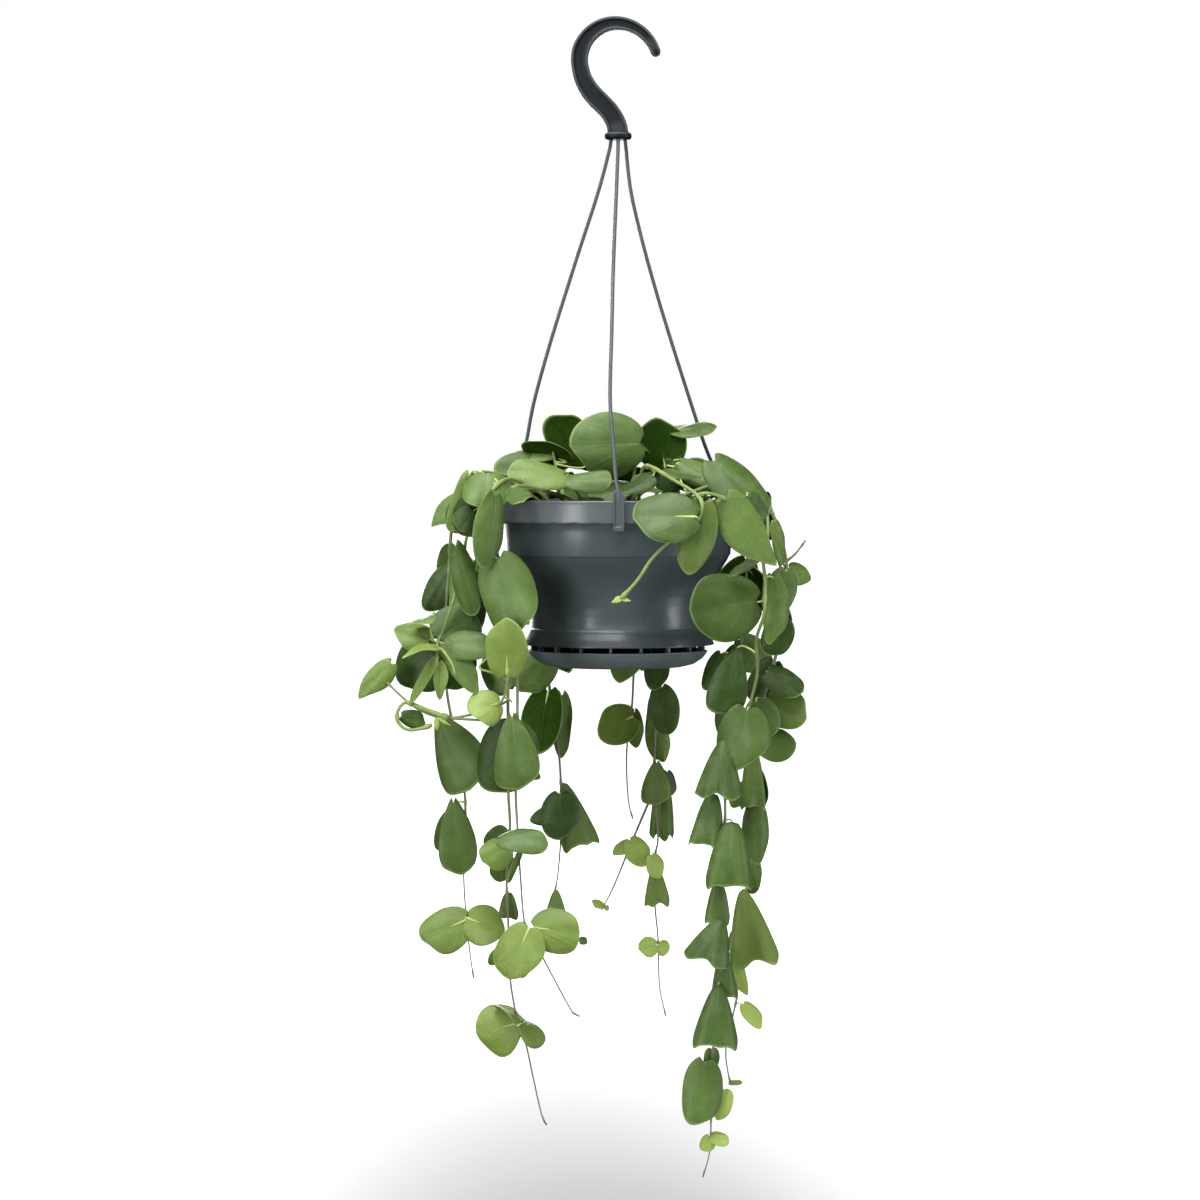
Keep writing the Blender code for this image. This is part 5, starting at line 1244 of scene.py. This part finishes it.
VINES["vine_front_right"] = [
    (0.1, 0.1, 0.95, [(11, -22, -296), (13, -34, -282), (16, -48, -266), (32, -70, -274), (46, -86, -283),
     (49, -90, -291), (43, -92, -302), (29, -94, -311), (19, -95, -321), (11, -95, -333), (1, -95, -344)]),
    (0.05, 0.1, 0.9, [(46, -86, -283), (51, -86, -282), (57, -84, -283), (64, -80, -286)]),
], [
    ("wing", (45, -96, -296), (10, -100, -294), 34, -95, 18, 0.28),
    ("open", (50, -86, -288), (41, -90, -329), 23, -88, 30, 0.34),
    ("ovate", (64, -80, -286), (93, -86, -322), 30, -85, 18, 0.26, 0.1),
    ("open", (20, -56, -272), (-1, -62, -279), 21, -92, 62, 0.13),
    ("open", (21, -48, -270), (7, -36, -272), 17, -90, 72, 0.3),
    ("open", (29, -60, -270), (49, -54, -268), 18, -90, 60, 0.27),
    ("ovate", (2, -95, -343), (-4, -96, -346), 4, -90, 30, 1),
    ("ovate", (2, -95, -344), (7, -96, -345), 3, -90, 20, 1),
    ("ovate", (2, -95, -343), (-3, -93, -343), 3, -90, 40, 1),
]
VINES["vine_front_top"] = [
    (0.3, 0.2, 0.6, [(-18, -32, -296), (-22, -42, -286), (-29, -48, -276), (-31, -48, -272)]),
], [
    ("open", (-29, -50, -273), (-64, -57, -265), 23, -92, 50, 0.42),
    ("open", (-32, -52, -274), (-4, -60, -272), 17, -88, 52, 0.15),
    ("open", (-31, -48, -270), (-40, -30, -273), 16, -90, 80, 0.29),
    ("open", (-22, -42, -285), (-11, -58, -286), 16, -90, 70, 0.2),
]
VINES["vine_top_left"] = [
    (0.3, 0.2, 0.6, [(-32, 2, -296), (-34, 6, -282), (-38, 10, -267), (-40, 12, -257)]),
], [
    ("open", (-20, 22, -263), (-38, 24, -234), 28, 95, 30, 0.02),
    ("open", (-32, 16, -263), (-58, 12, -251), 20, 95, 30, 0.02),
    ("open", (-40, 6, -271), (-74, 2, -265), 28, -95, 35, 0.2),
    ("open", (-40, 14, -259), (-62, 14, -254), 18, -95, 70, 0.23),
    ("open", (-34, 8, -282), (-13, 22, -278), 24, -70, 75, 0.13),
]
VINES["vine_top_middle"] = [
    (0.3, 0.2, 0.6, [(6, -4, -296), (9, -8, -278), (11, -12, -259), (11, -14, -249)]),
], [
    ("open", (13, -16, -252), (-26, -24, -253), 43, -92, 4, 0.14),
    ("open", (12, -12, -250), (19, -4, -256), 12, -80, 60, 0.23),
    ("open", (8, -10, -278), (-18, -14, -279), 22, -90, 60, 0.29),
    ("open", (10, -8, -277), (26, 2, -279), 21, -60, 75, 0.28),
]
VINES["vine_top_right"] = [
    (0.3, 0.2, 0.6, [(28, 10, -297), (30, 10, -279), (32, 10, -261), (34, 10, -246), (35, 10, -242)]),
], [
    ("open", (29, 6, -267), (24, 8, -238), 32, 95, 30, 0.04),
    ("open", (34, 10, -245), (59, 8, -238), 22, -88, 74, 0.15),
    ("open", (31, 18, -243), (48, 19, -238), 13, -80, 70, 0.4),
    ("open", (35, -8, -266), (67, -2, -270), 21, -85, 50, 0.16),
    ("open", (41, -2, -265), (50, 0, -281), 27, -85, -25, 0.02),
    ("open", (27, 6, -264), (35, 2, -282), 21, -95, -10, 0.02),
]
VINES["vine_top_back"] = [
    (0.4, 0.3, 0.6, [(-4, 34, -297), (-6, 40, -281), (-11, 46, -266), (-13, 50, -257)]),
], [
    ("open", (-8, 50, -268), (14, 66, -257), 26, 60, 60, 0.11),
    ("open", (-11, 50, -263), (-36, 70, -257), 26, 120, 60, 0.09),
    ("open", (-13, 52, -258), (-13, 70, -244), 23, -90, 60, 0.15),
    ("open", (-5, 42, -280), (15, 54, -275), 22, 0, 75, 0.21),
    ("open", (-7, 32, -286), (-26, 44, -280), 21, 180, 75, 0.08),
    ("open", (-7, 44, -273), (31, 40, -268), 24, 60, 50, 0.05),
    ("open", (-8, 40, -278), (-36, 36, -270), 21, 120, 50, 0.05),
]
VINES["vine_top_side"] = [
    (0.4, 0.3, 0.6, [(-48, 24, -297), (-49, 30, -283), (-52, 36, -273), (-53, 38, -266)]),
], [
    ("open", (-52, 40, -273), (-61, 66, -271), 22, 90, 60, 0.23),
    ("open", (-52, 39, -267), (-35, 46, -260), 22, 0, 60, 0.15),
    ("open", (-49, 30, -284), (-60, 10, -282), 18, 180, 75, 0.15),
]
VINES["vine_top_rim"] = [
    (0.4, 0.3, 0.6, [(53, 20, -297), (54, 21, -283), (56, 19, -273), (58, 16, -268)]),
], [
    ("open", (58, 17, -270), (77, 30, -267), 22, 20, 65, 0.26),
    ("open", (57, 19, -275), (68, 16, -282), 17, -60, 60, 0.19),
    ("open", (54, 20, -284), (45, 4, -281), 16, -90, 72, 0.15),
]
VINES["vine_left_outer"] = [
    (0.1, 0.9, 0.36, [(-40, 4, -297), (-46, -2, -284), (-60, -8, -274), (-72, -14, -271), (-85, -20, -270),
     (-95, -24, -280), (-101, -24, -305), (-102, -24, -323), (-104, -22, -347), (-106, -20, -374),
     (-104, -20, -404), (-100, -20, -426), (-96, -20, -450), (-93, -20, -471), (-94, -20, -516),
     (-92, -20, -546), (-90, -20, -565), (-88, -20, -578)]),
], [
    ("ovate", (-92, -26, -285), (-113, -30, -299), 23, -100, 35, 0.22),
    ("open", (-89, -40, -283), (-96, -36, -307), 24, -60, -10, 0.02),
    ("open", (-102, -22, -316), (-108, -12, -342), 17, -110, -15, 0.02),
    ("cape", (-98, -28, -314), (-93, -34, -354), 17, -80, 0, 0.24),
    ("open", (-102, -22, -329), (-116, -20, -354), 21, -120, -25, 0.02),
    ("open", (-94, -18, -341), (-90, 0, -375), 27, -85, -5, 0.02),
    ("open", (-88, -24, -324), (-84, -18, -354), 21, -85, -10, 0.02),
    ("pear", (-108, -24, -420), (-90, -34, -461), 46, -95, 12, 0.16, -0.05),
    ("pear", (-100, -24, -471), (-96, -32, -512), 34, -92, 8, 0.12),
    ("open", (-99, -14, -478), (-110, -8, -503), 18, -100, -10, 0.09),
    ("wing", (-92, -24, -542), (-119, -28, -552), 29, -92, 22, 0.66),
    ("wing", (-91, -26, -541), (-70, -30, -548), 28, -88, 22, 0.62),
    ("open", (-101, -18, -323), (-95, 6, -348), 22, 20, 10, 0.24),
    ("open", (-106, -14, -371), (-115, 8, -397), 23, 150, 10, 0.27),
]
VINES["vine_left_cluster"] = [
    (0.1, 0.15, 0.6, [(-42, -16, -296), (-51, -24, -285), (-64, -38, -276), (-77, -50, -272),
     (-86, -53, -285), (-91, -54, -310), (-97, -55, -340), (-106, -54, -367), (-108, -54, -376)]),
    (0, 0, 0.6, [(-107, -54, -371), (-109, -58, -372), (-111, -62, -369), (-112, -62, -360),
     (-110, -58, -353)]),
    (0, 0, 0.7, [(-106, -54, -367), (-108, -60, -371), (-108, -66, -376), (-108, -70, -385)]),
    (0, 0, 0.45, [(-108, -64, -374), (-105, -67, -375), (-101, -71, -380), (-98, -74, -385),
     (-97, -76, -390)]),
], [
    ("open", (-104, -58, -373), (-77, -66, -370), 22, -90, 30, 0.12),
    ("open", (-107, -46, -370), (-87, -38, -352), 30, -95, 12, 0.2),
    ("open", (-112, -58, -355), (-121, -66, -358), 16, -150, 20, 0.45),
    ("open", (-113, -60, -369), (-133, -58, -361), 24, -92, 40, 0.3),
    ("trough", (-108, -66, -374), (-126, -84, -376), 12, -92, 55, 0.6),
    ("open", (-110, -50, -377), (-132, -46, -396), 37, -102, 5, 0.02),
    ("open", (-103, -48, -379), (-93, -44, -400), 30, -95, 5, 0.02),
    ("trough", (-109, -68, -381), (-125, -72, -407), 10, -110, 20, 0.55),
    ("trough", (-107, -66, -383), (-105, -70, -404), 11, -70, 5, 0.45),
    ("open", (-104, -60, -372), (-83, -70, -397), 16, -75, 20, 0.15),
    ("open", (-97, -60, -314), (-85, -64, -355), 16, -86, 14, 0.24),
]
VINES["vine_left_front"] = [
    (0.05, 0.85, 0.38, [(-28, -16, -296), (-35, -28, -285), (-52, -48, -278), (-67, -70, -274),
     (-77, -78, -286), (-77, -78, -310), (-72, -72, -339), (-67, -66, -369), (-66, -60, -405),
     (-66, -56, -457), (-65, -54, -483), (-67, -54, -512), (-66, -54, -542), (-65, -54, -572),
     (-63, -54, -587), (-60, -54, -602), (-56, -54, -611), (-51, -54, -634), (-46, -54, -656),
     (-43, -54, -662)]),
    (0.4, 0.5, 0.6, [(-66, -60, -406), (-76, -64, -411), (-88, -66, -414), (-101, -66, -416),
     (-112, -66, -414), (-122, -66, -409), (-133, -62, -400), (-139, -60, -394)]),
    (0.4, 0.3, 0.5, [(-101, -66, -416), (-85, -68, -417), (-72, -68, -418)]),
    (0, 0.1, 1.4, [(-127, -67, -406), (-117, -68, -410), (-109, -68, -413), (-101, -67, -416)]),
    (0, 0, 1.0, [(-126, -66, -406), (-130, -67, -409), (-132, -67, -415), (-130, -67, -420),
     (-125, -67, -423), (-117, -67, -422), (-111, -67, -420)]),
    (0, 0, 0.7, [(-65, -86, -385), (-66, -81, -395), (-68, -75, -403), (-71, -71, -407), (-76, -64, -411)]),
    (0, 0, 0.4, [(-68, -75, -403), (-65, -76, -404), (-63, -76, -406)]),
    (0, 0, 0.4, [(-66, -62, -394), (-75, -67, -389), (-83, -67, -386), (-78, -66, -380)]),
], [
    ("open", (-78, -70, -271), (-80, -86, -288), 29, -92, 38, 0.25),
    ("open", (-83, -68, -285), (-90, -63, -309), 26, -85, -15, 0.05),
    ("open", (-89, -60, -272), (-99, -64, -305), 13, -75, 25, 0.45),
    ("open", (-73, -82, -284), (-74, -90, -325), 23, -55, 5, 0.11),
    ("open", (-71, -78, -321), (-59, -92, -363), 35, -92, 10, 0.2),
    ("wing", (-66, -84, -389), (-66, -98, -358), 26, -90, 12, 0.74),
    ("open", (-67, -56, -399), (-81, -48, -376), 24, -92, -15, 0.08),
    ("wing", (-71, -68, -407), (-88, -74, -411), 24, -92, 16, 0.6),
    ("open", (-64, -52, -422), (-72, -46, -464), 38, -98, 0, 0.12),
    ("open", (-66, -58, -487), (-81, -52, -496), 20, -98, 5, 0.05),
    ("open", (-66, -62, -493), (-81, -68, -500), 21, -95, 22, 0.36),
    ("open", (-67, -48, -501), (-73, -42, -518), 16, -95, -15, 0.1),
    ("hood", (-66, -50, -522), (-66, -46, -538), 12, -92, 0, 0.35),
    ("open", (-66, -50, -555), (-78, -46, -566), 10, -100, 0, 0.09),
    ("wing", (-61, -53, -601), (-85, -52, -606), 32, -94, 24, 0.72),
    ("wing", (-60, -67, -600), (-53, -46, -598), 38, -24, 36, 0.65),
    ("ovate", (-136, -60, -384), (-155, -64, -403), 17, -92, 20, 0.4),
    ("open", (-129, -66, -415), (-116, -68, -420), 12, -90, -20, 0.1),
    ("ovate", (-108, -69, -416), (-108, -70, -423), 4, -90, 10, 0.9),
    ("ovate", (-106, -69, -416), (-100, -70, -420), 3, -90, 40, 1),
    ("open", (-77, -74, -310), (-88, -56, -326), 21, -150, 10, 0.12),
    ("open", (-86, -72, -293), (-94, -74, -304), 17, -92, -15, 0.02),
]
VINES["vine_left_inner"] = [
    (0.1, 0.75, 0.38, [(-13, -4, -296), (-23, -20, -288), (-40, -48, -282), (-60, -78, -278),
     (-70, -68, -289), (-73, -64, -313), (-66, -58, -340), (-61, -64, -375), (-60, -72, -404),
     (-61, -76, -455), (-60, -76, -480), (-58, -76, -513), (-56, -76, -536), (-52, -76, -546),
     (-46, -76, -556), (-36, -76, -575), (-27, -76, -591), (-23, -76, -593)]),
], [
    ("pear", (-63, -80, -415), (-59, -90, -455), 39, -90, 4, 0.1),
    ("open", (-59, -72, -444), (-46, -70, -451), 9, -90, 10, 0.12),
    ("open", (-70, -80, -487), (-43, -88, -484), 19, -88, 48, 0.36),
    ("open", (-58, -78, -496), (-63, -80, -514), 10, -20, 0, 0.25),
    ("wing", (-53, -80, -540), (-66, -88, -567), 30, -94, 14, 0.7),
    ("wing", (-50, -78, -540), (-23, -82, -542), 28, -86, 14, 0.5),
    ("open", (-56, -72, -558), (-58, -70, -571), 11, -90, 0, 0.28),
    ("open", (-61, -82, -279), (-56, -101, -284), 16, -90, 55, 0.29),
]
VINES["vine_back_left"] = [
    (0.7, 0.9, 0.36, [(-34, 28, -297), (-37, 46, -282), (-40, 64, -275), (-45, 84, -287), (-46, 86, -325),
     (-45, 82, -376), (-43, 78, -407), (-39, 76, -432), (-36, 76, -464), (-36, 76, -502), (-38, 76, -527),
     (-40, 76, -540), (-37, 76, -555), (-31, 76, -566), (-24, 76, -568)]),
], [
    ("open", (-44, 74, -385), (-61, 66, -407), 26, -97, 0, 0.16),
    ("open", (-44, 74, -409), (-52, 68, -448), 27, 85, 15, 0.05),
    ("open", (-35, 80, -412), (-33, 84, -452), 15, -70, 0, 0.25),
    ("open", (-36, 70, -474), (-37, 62, -500), 27, -92, 10, 0.16),
    ("cape", (-34, 76, -467), (-22, 74, -508), 24, -75, 0, 0.25),
    ("open", (-38, 80, -485), (-55, 84, -493), 12, -95, 0, 0.18),
    ("cape", (-39, 76, -535), (-39, 74, -553), 13, -92, 0, 0.3),
    ("open", (-44, 88, -285), (-67, 92, -309), 26, 130, 15, 0.25),
    ("open", (-45, 90, -287), (-29, 102, -313), 27, 80, 15, 0.1),
    ("open", (-47, 90, -332), (-62, 98, -363), 27, 110, 8, 0.24),
    ("open", (-46, 90, -336), (-28, 100, -364), 26, 70, 8, 0.26),
    ("open", (-45, 86, -370), (-30, 92, -394), 24, 70, 5, 0.27),
    ("open", (-24, 76, -568), (-19, 76, -567), 6, -90, 20, 0.09),
]
VINES["vine_back_middle"] = [
    (0.7, 0.9, 0.36, [(5, 40, -297), (7, 58, -282), (9, 76, -275), (11, 90, -287), (11, 92, -326),
     (11, 88, -376), (10, 86, -408), (9, 86, -422), (6, 86, -449), (7, 86, -478), (10, 86, -491)]),
], [
    ("open", (10, 84, -376), (2, 78, -402), 21, -92, 0, 0.4),
    ("open", (10, 84, -425), (-13, 82, -435), 29, 88, 14, 0.6),
    ("open", (11, 88, -423), (14, 96, -446), 12, -60, -5, 0.3),
    ("open", (11, 94, -287), (-8, 103, -313), 27, 100, 15, 0.29),
    ("open", (13, 94, -291), (30, 105, -318), 26, 75, 15, 0.1),
    ("open", (11, 96, -338), (-6, 104, -368), 26, 95, 8, 0.15),
    ("open", (12, 96, -343), (27, 104, -373), 26, 80, 8, 0.21),
    ("open", (11, 92, -370), (16, 103, -395), 21, 85, 5, 0.28),
]
VINES["vine_back_right"] = [
    (0.7, 0.9, 0.34, [(21, 32, -297), (25, 50, -282), (32, 68, -275), (40, 82, -287), (38, 84, -325),
     (32, 82, -376), (27, 82, -408), (24, 82, -439), (24, 82, -477), (26, 82, -502), (24, 82, -516),
     (24, 82, -544), (26, 82, -567), (27, 82, -597), (31, 82, -617)]),
    (0.6, 0.9, 0.4, [(24, 82, -471), (20, 82, -480), (9, 82, -506), (-2, 82, -533), (-10, 82, -549)]),
], [
    ("open", (26, 84, -384), (24, 76, -407), 17, -92, 0, 0.2),
    ("open", (28, 80, -407), (33, 74, -436), 20, -88, 0, 0.05),
    ("open", (24, 84, -414), (22, 86, -453), 15, -115, 0, 0.25),
    ("open", (28, 84, -435), (29, 86, -455), 11, -92, -10, 0.5),
    ("pear", (25, 80, -455), (24, 74, -480), 27, -95, 8, 0.4),
    ("open", (32, 84, -461), (36, 84, -475), 11, -60, -10, 0.15),
    ("hood", (26, 84, -472), (25, 86, -503), 9, -80, 0, 0.3),
    ("hood", (32, 84, -471), (32, 88, -504), 10, -60, 0, 0.35),
    ("open", (22, 74, -513), (27, 69, -526), 12, -90, 32, 0.95),
    ("cape", (24, 80, -519), (25, 76, -546), 16, -92, 0, 0.5),
    ("wing", (25, 80, -571), (14, 78, -572), 14, -92, 26, 0.95),
    ("wing", (26, 80, -571), (33, 78, -574), 11, -88, 20, 0.9),
    ("open", (7, 80, -505), (-3, 80, -512), 10, -92, 38, 1),
    ("open", (8, 78, -504), (20, 76, -518), 18, -88, 34, 0.95),
    ("open", (-9, 81, -546), (-16, 80, -543), 6, -90, 20, 0.9),
    ("open", (-8, 82, -547), (-5, 82, -548), 4, -90, 10, 0.9),
    ("open", (40, 86, -287), (58, 94, -313), 26, 60, 15, 0.15),
    ("open", (39, 88, -294), (23, 98, -323), 26, 100, 15, 0.28),
    ("open", (38, 88, -332), (55, 94, -364), 26, 60, 8, 0.2),
    ("open", (34, 88, -355), (26, 98, -380), 22, 95, 5, 0.15),
]

print(len(VINES), "vines with", sum(len(leaves) for _, leaves in VINES.values()), "leaves")

# %% Grow the vines
for vine_number, (vine, (stems, leaves)) in enumerate(VINES.items()):
    routes = [smooth_route(rooted(stem[3]) if n == 0 else stem[3], 3) for n, stem in enumerate(stems)]
    feet = [nearest_on(routes, Vector(row[1])) for row in leaves]
    build_stem(f"{vine}_stem", vine, routes, [stem[:3] for stem in stems], feet)
    for number, row in enumerate(leaves, 1):
        build_leaf(f"{vine}_leaf_{number:02d}", vine, routes, vine_number * 100 + number, *row)
